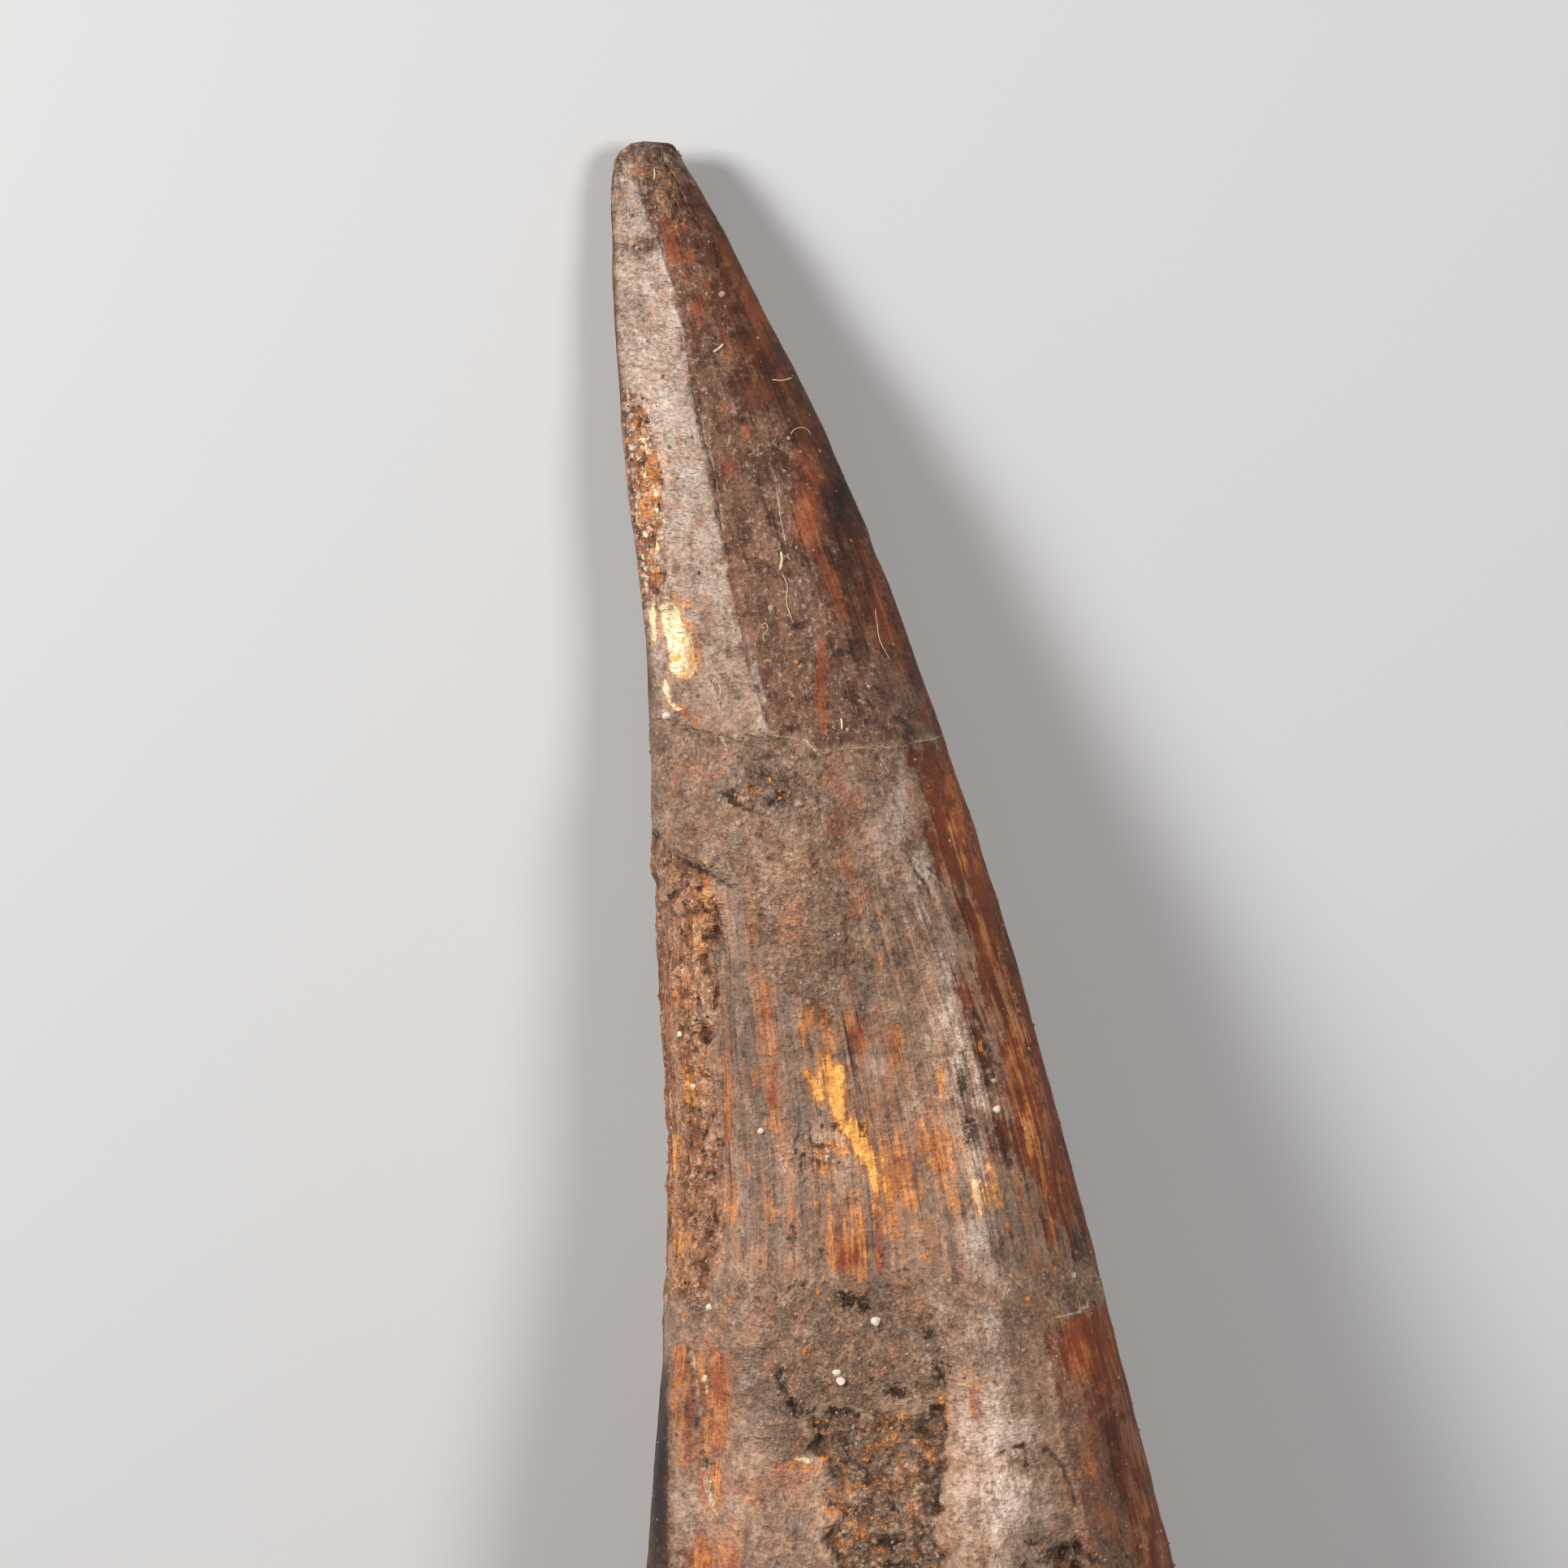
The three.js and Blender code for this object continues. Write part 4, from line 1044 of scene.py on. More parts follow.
def new_piece(name, points, faces, material, smooth_faces=True):
    """A mesh object at the origin, with its faces outward."""
    mesh = bpy.data.meshes.new(name)
    mesh.from_pydata([tuple(p) for p in points], [], faces)
    mesh.validate()
    mesh.update()
    mesh.materials.append(material)
    mesh.polygons.foreach_set("use_smooth", [smooth_faces] * len(mesh.polygons))
    piece = bpy.data.objects.new(name, mesh)
    bpy.context.scene.collection.objects.link(piece)
    return piece


def signed_volume(points, faces):
    """Volume inside a closed mesh, above 0 if its faces point outwards."""
    total = 0.0
    for face in faces:
        a, b, c = (points[i] for i in face[:3])
        total += np.dot(a, np.cross(b, c))
        if len(face) == 4:
            total += np.dot(a, np.cross(c, points[face[3]]))
    return total / 6


def store(mesh, name, values):
    """Keeps one number, or one vector, for each point of a mesh."""
    kind = "FLOAT" if values.ndim == 1 else "FLOAT_VECTOR"
    attribute = mesh.attributes.new(name, kind, "POINT")
    attribute.data.foreach_set("value" if values.ndim == 1 else "vector", values.astype(np.float32).ravel())


def make_tooth(context):
    """The tooth's surface over its solid, with what its material needs to know at each point."""
    sizes = context.scene.fossil_tooth
    skin = Skin(Net(), view_distance(context.scene))
    areas = surface_areas(skin)
    relief, (side, far, tone) = relief_of(skin, areas, sizes.relief)
    moved = skin.points + relief[..., None] * skin.normals
    low, high = (np.array(corner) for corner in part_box(NODE))
    points = np.clip(to_row(without_poles(moved).astype(float)), low, high)
    faces = grid_faces(*skin.along.shape)
    if signed_volume(points, faces[:: max(1, len(faces) // 4000)]) < 0:
        faces = [face[::-1] for face in faces]
    tooth = new_piece("tooth_surface", points, faces, fossil_material(context.scene.fossil_colours))
    mesh = tooth.data
    values = {**areas, **surface_shares(skin, areas)}
    values["line_side"] = np.clip(side, -LINE_REACH, LINE_REACH)
    values["line_far"] = np.clip(far, 0, LINE_REACH)
    values["line_tone"] = tone
    # Painted shade in hollows and painted highlight on tops: how far each point lies below its neighbours
    values["hollow"] = even_out(relief, 6) - relief
    clear = np.minimum(to_row(moved) - low, high - to_row(moved)).min(axis=-1) / MM
    values["grit"] = grit_of(areas, skin) * smooth(0.35, 0.6, clear)
    values["crumb_grit"] = np.clip(values["crumbly"] * 1.3 - 0.3, 0, 1) * smooth(0.7, 1.0, clear)
    for name, value in values.items():
        store(mesh, name, without_poles(value))
    store(mesh, "fibre", without_poles(skin.fibre))
    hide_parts(NODE)
    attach(tooth, "root")


def grit_of(areas, skin):
    """How thickly loose sand clings to each point, from 0 to 1."""
    thick = 0.55 * smooth(-0.2, 0.3, areas["fill"]) + 0.8 * smooth(0, 0.4, areas["sunken"])
    thick += 0.7 * smooth(-0.2, 0.3, areas["strip"]) * (0.2 + 0.8 * smooth(900, 1000, skin.y))
    thick += 0.8 * smooth(0, 0.3, areas["crust"])
    thick += 0.5 * smooth(0, 0.5, areas["root"]) + 0.8 * smooth(0, 1, skin.past_rim) + 0.12
    return np.clip(thick, 0, 1)


class Field:
    """One output in a shader tree. Sums on it add Math nodes."""

    def __init__(self, maker, socket):
        self.maker = maker
        self.socket = socket

    def __add__(self, other):
        return self.maker.math("ADD", self, other)

    def __sub__(self, other):
        return self.maker.math("SUBTRACT", self, other)

    def __rsub__(self, other):
        return self.maker.math("SUBTRACT", other, self)

    def __mul__(self, other):
        return self.maker.math("MULTIPLY", self, other)

    __radd__ = __add__
    __rmul__ = __mul__


class Maker:
    """Adds the nodes of one material."""

    def __init__(self, name):
        self.material = bpy.data.materials.new(name)
        self.material.use_nodes = True
        self.tree = self.material.node_tree
        self.tree.nodes.clear()

    def node(self, kind, settings=None, inputs=None, output=0):
        """A node of a kind, with its settings, then the values or links of its sockets."""
        node = self.tree.nodes.new(kind)
        for name, value in (settings or {}).items():
            setattr(node, name, value)
        for key, value in (inputs or {}).items():
            socket = next(s for s in node.inputs if key in (s.identifier, s.name))
            if isinstance(value, Field):
                self.tree.links.new(value.socket, socket)
            else:
                socket.default_value = value
        outputs = [s for s in node.outputs if s.enabled]
        return Field(self, outputs[output]) if outputs else node

    def math(self, operation, a, b=0.0):
        return self.node("ShaderNodeMath", {"operation": operation}, {"Value": a, "Value_001": b})

    def ramp(self, value, low, high):
        """0 where the value is at low, 1 where it is at high, with an even curve between them."""
        sockets = {"Value": value, "From Min": low, "From Max": high}
        return self.node("ShaderNodeMapRange", {"interpolation_type": "SMOOTHSTEP"}, sockets)

    def attribute(self, name, vector=False):
        """What the mesh keeps under a name: a vector, or one number."""
        return self.node("ShaderNodeAttribute", {"attribute_name": name}, output=1 if vector else 2)

    def stretch(self, vector, factors, shift=(0, 0, 0)):
        sockets = {"Vector": vector, "Vector_001": factors, "Vector_002": shift}
        return self.node("ShaderNodeVectorMath", {"operation": "MULTIPLY_ADD"}, sockets)

    def moved(self, vector, by):
        """The place moved by an amount, so that what is drawn there gets crooked edges."""
        return self.node("ShaderNodeVectorMath", {"operation": "ADD"}, {"Vector": vector, "Vector_001": by})

    def noise(self, vector, scale, detail=2.0, roughness=0.5, distortion=0.0):
        sockets = {"Vector": vector, "Scale": scale, "Detail": detail}
        sockets.update({"Roughness": roughness, "Distortion": distortion})
        return self.node("ShaderNodeTexNoise", inputs=sockets)

    def cells(self, vector, scale):
        """Packed cells: the distance to the nearest middle, and two random numbers of each cell."""
        near = self.node("ShaderNodeTexVoronoi", inputs={"Vector": vector, "Scale": scale, "Randomness": 1.0})
        drawn = Field(self, near.socket.node.outputs["Color"])
        parts = self.node("ShaderNodeSeparateColor", inputs={"Color": drawn}).socket.node
        return near, Field(self, parts.outputs[0]), Field(self, parts.outputs[1])

    def specks(self, vector, scale, radius, share):
        """1 in round specks, one in the middle of a share of the cells."""
        near, chance, _ = self.cells(vector, scale)
        return self.ramp(near, radius, radius * 0.6) * self.ramp(chance, 1 - share, 1 - share * 0.9)

    def mix(self, share, a, b):
        """Colour a where the share is 0 and b where it is 1."""
        sockets = {"Factor_Float": share, "A_Color": self.colour(a), "B_Color": self.colour(b)}
        return self.node("ShaderNodeMix", {"data_type": "RGBA"}, sockets)

    def over(self, base, colour, value, low, high, strength):
        """The base with a colour over it, where a value passes from low to high."""
        return self.mix(self.ramp(value, low, high) * strength, base, colour)

    def shade(self, colour, brightness):
        """The colour made lighter or darker."""
        sockets = {"Vector": colour, "Scale": brightness}
        return self.node("ShaderNodeVectorMath", {"operation": "SCALE"}, sockets)

    def colour(self, value):
        return value if isinstance(value, Field) else (*value, 1)

    def finish(self, colour, roughness, normal=None, **constants):
        """The surface itself."""
        sockets = {"Base Color": self.colour(colour), "Roughness": roughness}
        sockets.update({name.replace("_", " "): value for name, value in constants.items()})
        if normal is not None:
            sockets["Normal"] = normal
        surface = self.node("ShaderNodeBsdfPrincipled", inputs=sockets)
        self.node("ShaderNodeOutputMaterial", inputs={"Surface": surface})
        return self.material


def fossil_material(c):
    """The tooth's surface in the colours c: polished, under a dusty film, with a worn facet and fills."""
    m = Maker("fossil surface")

    # Noises and packed cells, by place and along the fibres
    spot = m.stretch(m.node("ShaderNodeTexCoord", output=3), (1000, 1000, 1000))
    fibre = m.attribute("fibre", vector=True)
    cloud = m.noise(spot, 0.5, 6.0, 0.74)
    hue = m.noise(m.stretch(spot, (1, 1, 1), (31, 11, 5)), 0.55, 5.0, 0.68)
    medium = m.noise(m.stretch(spot, (1, 1, 1), (7, 3, 5)), 1.1, 5.0, 0.65)
    fine = m.noise(spot, 2.8, 2.0, 0.75)
    threads = m.noise(m.stretch(fibre, (2.4, 2.4, 0.16)), 1.0, 5.0, 0.62, 0.4)
    streaks = m.noise(m.stretch(fibre, (0.75, 0.75, 0.055), (9, 2, 4)), 1.0, 5.0, 0.66, 0.4)
    turned = {"Vector": spot, "Rotation": (0, 0, math.radians(-36)), "Scale": (2.1, 0.55, 0.9)}
    wrinkle = m.noise(m.node("ShaderNodeMapping", inputs=turned), 1.0, 2.0, 0.6, 0.9) - 0.5
    ripple = m.noise(m.stretch(spot, (4.6, 1.9, 2.4)), 1.0, 1.0, 0.6) - 0.5
    clouds = cloud - 0.5
    hues = hue - 0.5
    mottle = medium - 0.5
    speckle = fine - 0.5
    thread = threads - 0.5
    strand = streaks - 0.5
    crease = m.ramp(m.math("ABSOLUTE", wrinkle), 0.045, 0.0)
    crooked = m.moved(spot, mottle * 1.5)
    near, chance, other_chance = m.cells(crooked, 2.0)
    grain, grain_tone, grain_kind = m.cells(m.moved(spot, speckle * 0.5), 3.4)
    bitten = near + speckle * 0.5

    # What the mesh says of each point
    names = ("streaky", "glow", "red", "grey", "pale", "crown", "crumbly", "folded", "hollow")
    streaky, glow, red, grey, pale, crown, crumbly, folded, hollow = map(m.attribute, names)
    streak = strand * streaky
    cloudy = cloud + streak * 1.2 + thread * streaky * 0.45 + mottle * 0.3 + speckle * 0.2

    def area(name, spread):
        """1 inside an area, with a ragged border."""
        return m.ramp(m.attribute(name) + (mottle + hues + streak) * 2.0, -spread, spread)

    def touched(share, low, high, ragged_by=1.0):
        """0 where a share is low, 1 where it is high, with a border torn along the fibres."""
        ragged = hues * (2.0 - streaky * 0.7) + streak * 2.4 + mottle * 1.2
        ragged += thread * streaky * 0.9 + speckle * 0.6
        return m.ramp(share + ragged * ragged_by, low, high)

    # The polished enamel and the bare root
    fibrous = strand * (0.3 + streaky * 0.5) + clouds * 1.2 + thread * (0.1 + streaky * 0.4)
    brown = m.mix(m.ramp(fibrous + glow * 0.06, -0.18, 0.14), c.deep, c.brown)
    flank = m.mix(m.ramp(streaks + hues + mottle * 0.8, 0.40, 0.60), c.flank_red, c.flank)
    brown = m.mix(glow * 0.9, brown, flank)
    fibres = thread * (0.3 + streaky * 0.4) + strand * 0.7 + hues * (0.7 + glow * 0.5) + glow * 0.12
    fibre_colour = m.mix(m.ramp(streaks + mottle * 0.5 + glow * 0.10, 0.50, 0.74), c.rust, c.amber)
    brown = m.over(brown, m.mix(crown, fibre_colour, c.red), fibres, 0.03, 0.30, 0.75)
    brown = m.over(brown, c.green_black, hue + thread * 0.3, 0.56, 0.68, 0.3 + glow * 0.5)
    root = m.mix(m.ramp(streaks + clouds + mottle * 0.4, 0.4, 0.62), c.root_dark, c.root)
    brown = m.mix(area("root", 0.3), brown, root)

    # The dusty film: brown, pink and grey, pale where it is worn and in a painted highlight on the round
    # ridge, and dark on the crown
    dust = m.mix(m.ramp(cloudy, 0.24, 0.56), c.dust_dark, c.dust)
    dust = m.over(dust, c.dust_light, cloudy, 0.48, 0.76, 0.85)
    dust = m.over(dust, c.dust_pink, hue + streak * 1.8 + red * 0.2, 0.50, 0.68, 0.85)
    dust = m.over(dust, c.dust_grey, hue + streak * 1.8 - grey * 0.2, 0.48, 0.32, 0.85)
    worn = m.mix(m.ramp(cloudy, 0.26, 0.54), c.facet_dark, c.facet)
    worn = m.over(worn, c.facet_grey, hue + grey * 0.2, 0.54, 0.7, 0.6)
    worn = m.over(worn, c.dust_pink, hue - red * 0.2, 0.46, 0.34, 0.5)
    # Pale film in the worn facet's colours, which on the round ridge is a painted highlight
    dust = m.mix(touched(pale, 0.15, 0.85, 0.5), dust, worn)
    dust = m.mix(crown * 0.5, dust, c.dust_pink)
    dust = m.over(dust, c.maroon, hue + streak, 0.56, 0.42, crown * 0.7)
    film = touched(m.attribute("film"), 0.18, 0.74) * 0.96
    base = m.mix(film, brown, m.shade(dust, 1 - crown * 0.42))
    dusted = m.math("MAXIMUM", film, m.ramp(m.attribute("strip"), -0.2, 0.2))
    specks = fine + mottle * 0.3
    sparkle = m.ramp(specks, 0.58 - crown * 0.03, 0.74 - crown * 0.03)
    base = m.mix(sparkle * dusted * (0.4 + crown * 0.3), base, c.facet)
    base = m.over(base, c.pit, specks, 0.40, 0.24, dusted * 0.5)

    # The knobbly strip: rust with dark gaps painted as shade between its lumps, and cream crumbs near the tip
    strip = area("strip", 0.5)
    stripe = m.ramp(medium + clouds + speckle * 0.5 + strand * 0.9, 0.36, 0.62)
    stripe = m.mix(stripe, c.strip_dark, c.strip)
    stripe = m.over(stripe, c.rust, hue - strand * 0.9 + thread * 0.3, 0.50, 0.66, 0.8)
    stripe = m.over(stripe, c.maroon, cloud - strand * 0.54, 0.42, 0.30, 0.7)
    creamy = m.ramp(pale, 0.3, 0.8)
    stripe = m.over(stripe, c.cream_dust, chance * 0.4 + hue + mottle * 1.2, 0.53, 0.61, creamy)
    # Darker in the gaps between the lumps, as painted shade
    gaps = bitten + mottle * 0.8 + creamy * 0.05
    stripe = m.over(stripe, c.strip_dark, gaps, 0.42, 0.62, 0.55 + creamy * 0.45)
    base = m.mix(strip * 0.9, base, stripe)

    # Red and orange tinges
    fresh = m.mix(m.ramp(medium + streak + thread * 0.5, 0.42, 0.66), c.rust, c.amber)
    wine = m.mix(m.ramp(cloudy, 0.4, 0.6), c.maroon, c.red)
    base = m.mix(touched(red, 0.4, 1.0) * 0.62, base, wine)
    base = m.mix(touched(glow, 0.5, 1.0) * 0.72, base, m.mix(crown * 0.6, fresh, c.red))

    # Rust, cream and gold marks
    torn = thread * 1.4 + streak * 1.2 + mottle * 0.9 + speckle * 0.3
    rusty = m.ramp(threads + mottle * 0.6 + hues * 0.6 - red * 0.12, 0.38, 0.60)
    rusty = m.over(m.mix(rusty, c.red, c.amber), c.peach, hue + streak, 0.50, 0.62, 0.6)
    rusty = m.mix(crown * 0.65, rusty, c.red)
    rust_depth = m.attribute("rust") + torn + hues * 0.6
    base = m.over(base, rusty, rust_depth, -0.16, 0.16, 0.80 - crown * 0.25)
    cream_depth = m.attribute("cream") + mottle * 0.5 + speckle * 0.15 + hues * 0.8
    base = m.over(base, c.amber, cream_depth + hues * 2.0 + mottle * 1.5, -0.12, 0.10, 0.6)
    chipped = m.ramp(cream_depth, -0.05, 0.14)
    base = m.mix(chipped, base, m.mix(m.ramp(hue + mottle * 0.6, 0.37, 0.47), c.gold, c.cream))
    gold_depth = m.attribute("gold") + torn * 1.3
    patches = m.ramp(medium, 0.4, 0.6)
    base = m.over(base, m.mix(patches, c.rust, c.amber), gold_depth, -0.5, 0.0, 0.7)
    golden = m.over(m.mix(patches, c.gold_dark, c.gold), c.cream_dust, pale, 0.1, 0.5, 0.7)
    base = m.over(base, golden, gold_depth, -0.04, 0.16, 0.95)

    # Crumbs, dark stains and painted shade, ink-black pits and loose specks; painted shade in the
    # relief's hollows and between the crumbs, and a painted highlight on its tops
    crumb = m.mix(m.ramp(chance * 0.24 + cloudy, 0.38, 0.82), c.pit, c.dust_light)
    crumb_hue = hue + mottle * 0.9 + other_chance * 0.12 + glow * 0.16
    crumb = m.over(crumb, fresh, crumb_hue, 0.60, 0.78, 0.9)
    base = m.over(base, crumb, crumbly + hues * 1.6 + mottle, 0.3, 1.0, 0.75)
    # Painted shade in the gaps between the crumbs
    between = m.ramp(near + speckle * 0.6, 0.36, 0.66) * m.ramp(crumbly + mottle, 0.25, 0.9)
    base = m.mix(between * 0.5, base, c.pit)
    # Dark stains and painted shade on the rims and the low left side, in the dark stain's colour
    dark = m.ramp(m.attribute("dark") + mottle * 2.0 + speckle * 1.4 + streak * 2.0, 0.42, 0.9)
    base = m.mix(dark * m.ramp(bitten, 0.05, 0.45) * 0.9, base, c.green_black)
    ink = m.ramp(m.attribute("ink") + mottle * 2.6 + speckle * 2.0, -0.1, 0.2) * m.ramp(bitten, 0.22, 0.46)
    base = m.mix(ink * 0.8, base, c.ink)
    # Painted shade in the relief's hollows and a painted highlight on its tops
    base = m.over(base, c.pit, hollow, 0.02, 0.2, 0.85)
    base = m.over(base, c.dust_light, hollow, -0.04, -0.2, 0.3)
    dusty = 1 - chipped
    loose = m.specks(m.stretch(crooked, (1, 1, 1), (5, 5, 5)), 2.2, 0.22, 0.10)
    base = m.mix(loose * 0.7 * dusty, base, c.amber)
    loose = m.specks(m.stretch(crooked, (1, 1, 1), (9, 2, 5)), 1.6, 0.26, 0.12)
    base = m.mix(loose * 0.6 * dusty, base, c.pit)

    # Cracks and seams, painted shadow lines under steps, and pale edges partly painted as highlight
    line_side = m.attribute("line_side") + (m.noise(spot, 2.2, 3.0, 0.6) - 0.5) * 4.0
    line = m.ramp(m.math("ABSOLUTE", line_side), 1.7, 0.5) * m.ramp(m.attribute("line_far"), 4.0, 2.0)
    tone = m.attribute("line_tone")
    line *= m.math("MAXIMUM", m.ramp(medium + hues, 0.36, 0.58), m.ramp(tone, 0.75, 0.95) * 0.35)
    # Dark lines paint cracks and the shadows under steps; pale lines paint edges, partly as highlight
    base = m.mix(line * 0.85, base, m.mix(tone, c.ink, c.cream_dust))

    # Sand grains with painted shade between them, folds with painted shade in their creases,
    # and how light each place is, with painted highlights on the ripples
    sandy = area("fill", 0.8)
    grainy = m.math("MAXIMUM", crumbly, film * 0.35)
    grainy = m.math("MAXIMUM", sandy * (1 - folded * 0.5), grainy) * dusty
    # Painted shade in the creases of the folds
    base = m.mix(crease * folded * 0.35, base, c.pit)
    # Painted shade between the sand grains
    base = m.over(base, c.pit, grain, 0.42, 0.66, grainy * 0.35)
    lift = 1.04 + clouds * 0.8 + mottle * 0.5 + speckle * 0.4 + (grain_tone - 0.5) * grainy * 0.5
    # Ripples lighten and darken the film as painted short highlights across it
    lift += ripple * dusted * (1.1 - sandy * 0.5 - pale * grey * 0.7 - streaky * 0.5)
    lift += thread * streaky * (0.9 + pale * 1.4) - ripple * pale * streaky * 0.5
    # Lightening and darkening of each place, which includes painted highlight and shade
    base = m.shade(base, m.math("MAXIMUM", lift * m.attribute("lift"), 0.2))

    # Roughness, the finest relief and the polish
    matte = m.math("MAXIMUM", m.math("MAXIMUM", sandy * 0.8, crumbly), strip * 0.7)
    roughness = 0.62 - film * 0.28 + matte * 0.12 + mottle * 0.5 + (grain_kind - 0.5) * grainy * 0.2
    height = mottle * (0.20 + film * 0.36 + matte * 0.60) + thread * (0.04 + streaky * 0.22)
    height += speckle * (0.04 + film * 0.08 + matte * 0.16) + clouds * 0.3
    height += ripple * (0.03 + film * 0.14)
    height += m.ramp(grain + grain_kind * 0.2, 0.75, 0.15) * grainy * 0.055
    height += m.ramp(near, 0.62, 0.1) * m.math("MAXIMUM", crumbly, strip * 0.9) * 0.26
    height += wrinkle * (0.10 + folded * 0.9 + pale * 0.3)
    height -= crease * (0.01 + folded * 0.06 + pale * 0.03)
    height += m.ramp(bitten, 0.66, 0.40) * pale * 0.06
    height += m.ramp(m.attribute("facet") + mottle * 0.4, -0.1, 0.1) * 0.10
    height += m.ramp(m.attribute("enamel") + mottle + hues * 2.0, -0.1, 0.1) * 0.06
    height -= line * (0.08 - tone * 0.12) - ink * 0.12
    bump = m.node("ShaderNodeBump", inputs={"Strength": 1.0, "Distance": MM, "Height": height})
    coat = m.attribute("gloss") * m.ramp(cloudy + speckle * 0.6, 0.36, 0.56) * 0.7
    extra = {"Specular_IOR_Level": c.shine, "Coat_Weight": coat, "Coat_Roughness": 0.32}
    return m.finish(base, roughness, bump, **extra)


def grain_material(name, light, dark, tint, accent=None):
    """Loose mineral grains, whose colour changes from grain to grain."""
    m = Maker(name)
    spot = m.stretch(m.node("ShaderNodeTexCoord", output=3), (1000, 1000, 1000))
    mottle = m.noise(spot, 3.0, 2.0, 0.6)
    shade = m.attribute("tint") if tint else mottle
    colour = m.mix(m.ramp(shade, 0.0, 0.8), dark, light)
    if accent:
        colour = m.mix(m.ramp(shade, 0.74, 0.8), colour, accent)
    colour = m.mix(m.ramp(mottle, 0.3, 0.7) * 0.4, colour, dark)
    bump = m.node("ShaderNodeBump", inputs={"Strength": 0.6, "Distance": MM, "Height": mottle * 0.1})
    return m.finish(colour, 0.45 + mottle * 0.25, bump, Specular_IOR_Level=0.3)


def grain_tree(material, thickness):
    """Geometry nodes that scatter small stones over a mesh, as thickly as one of its attributes says."""
    tree = bpy.data.node_groups.new("scattered " + thickness, "GeometryNodeTree")
    add = tree.interface.new_socket
    add("Geometry", in_out="INPUT", socket_type="NodeSocketGeometry")
    for name, kind in (("Per area", "Float"), ("Smallest", "Float"), ("Largest", "Float"), ("Seed", "Int")):
        add(name, in_out="INPUT", socket_type="NodeSocket" + kind)
    add("Geometry", in_out="OUTPUT", socket_type="NodeSocketGeometry")

    def node(kind, settings=None, **inputs):
        """The first output of a new node, with its settings and the values or links of its sockets."""
        made = tree.nodes.new(kind)
        for name, value in (settings or {}).items():
            setattr(made, name, value)
        for name, value in inputs.items():
            socket = next(s for s in made.inputs if s.enabled and name in (s.name, s.identifier))
            if isinstance(value, bpy.types.NodeSocket):
                tree.links.new(value, socket)
            else:
                socket.default_value = value
        return next(s for s in made.outputs if s.enabled)

    def random(kind, seed, **limits):
        return node("FunctionNodeRandomValue", {"data_type": kind}, Seed=seed, **limits)

    given = tree.nodes.new("NodeGroupInput").outputs
    grit = node("GeometryNodeInputNamedAttribute", {"data_type": "FLOAT"}, Name=thickness)
    thick = node("ShaderNodeMath", {"operation": "MULTIPLY"}, Value=grit, Value_001=given["Per area"])
    spread = {"Mesh": given["Geometry"], "Density": thick, "Seed": given["Seed"]}
    points = node("GeometryNodeDistributePointsOnFaces", **spread)
    stone = node("GeometryNodeMeshIcoSphere", Radius=0.5, Subdivisions=1)
    size = random("FLOAT", 3, Min=given["Smallest"], Max=given["Largest"])
    squash = random("FLOAT_VECTOR", 5, Min=(0.6, 0.6, 0.5), Max=(1.2, 1.0, 0.9))
    scale = node("ShaderNodeVectorMath", {"operation": "SCALE"}, Vector=squash, Scale=size)
    turn = random("FLOAT_VECTOR", 7, Max=(math.tau, math.tau, math.tau))
    placed = node("GeometryNodeInstanceOnPoints", Points=points, Instance=stone, Rotation=turn, Scale=scale)
    shade = random("FLOAT", 9)
    settings = {"data_type": "FLOAT", "domain": "INSTANCE"}
    tinted = node("GeometryNodeStoreNamedAttribute", settings, Geometry=placed, Name="tint", Value=shade)
    real = node("GeometryNodeRealizeInstances", Geometry=tinted)
    covered = node("GeometryNodeSetMaterial", Geometry=real, Material=material)
    tree.links.new(covered, tree.nodes.new("NodeGroupOutput").inputs["Geometry"])
    return tree


def set_input(modifier, name, value):
    """Sets a geometry nodes input by its identifier."""
    items = modifier.node_group.interface.items_tree
    socket = next(i for i in items if i.in_out == "INPUT" and i.name == name)
    modifier[socket.identifier] = value


def scatter(context, name, thickness, material, per_area, smallest, largest):
    """Small stones over the tooth, as one piece."""
    tooth = bpy.data.objects["tooth_surface"]
    piece = bpy.data.objects.new(name, tooth.data.copy())
    context.scene.collection.objects.link(piece)
    modifier = piece.modifiers.new("grains", "NODES")
    modifier.node_group = grain_tree(material, thickness)
    set_input(modifier, "Per area", per_area / MM ** 2)
    set_input(modifier, "Smallest", smallest)
    set_input(modifier, "Largest", largest)
    set_input(modifier, "Seed", context.scene.fossil_grains.seed)
    ready = piece.evaluated_get(context.evaluated_depsgraph_get())
    mesh = bpy.data.meshes.new_from_object(ready)
    piece.modifiers.clear()
    piece.data = mesh
    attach(piece, "root")


def make_sand(context):
    """Fine sand that clings to the whole surface, and crumbs in its pitted parts."""
    sizes = context.scene.fossil_grains
    colours = context.scene.fossil_colours
    sand = grain_material("sand", colours.facet, colours.strip_dark, tint=True)
    scatter(context, "sand_grains", "grit", sand, sizes.per_area, sizes.smallest, sizes.largest)
    crumbs = grain_material("crumbs", colours.dust_light, colours.pit, tint=True, accent=colours.amber)
    limits = (sizes.crumbs_per_area, sizes.smallest_crumb, sizes.largest_crumb)
    scatter(context, "crumbs", "crumb_grit", crumbs, *limits)


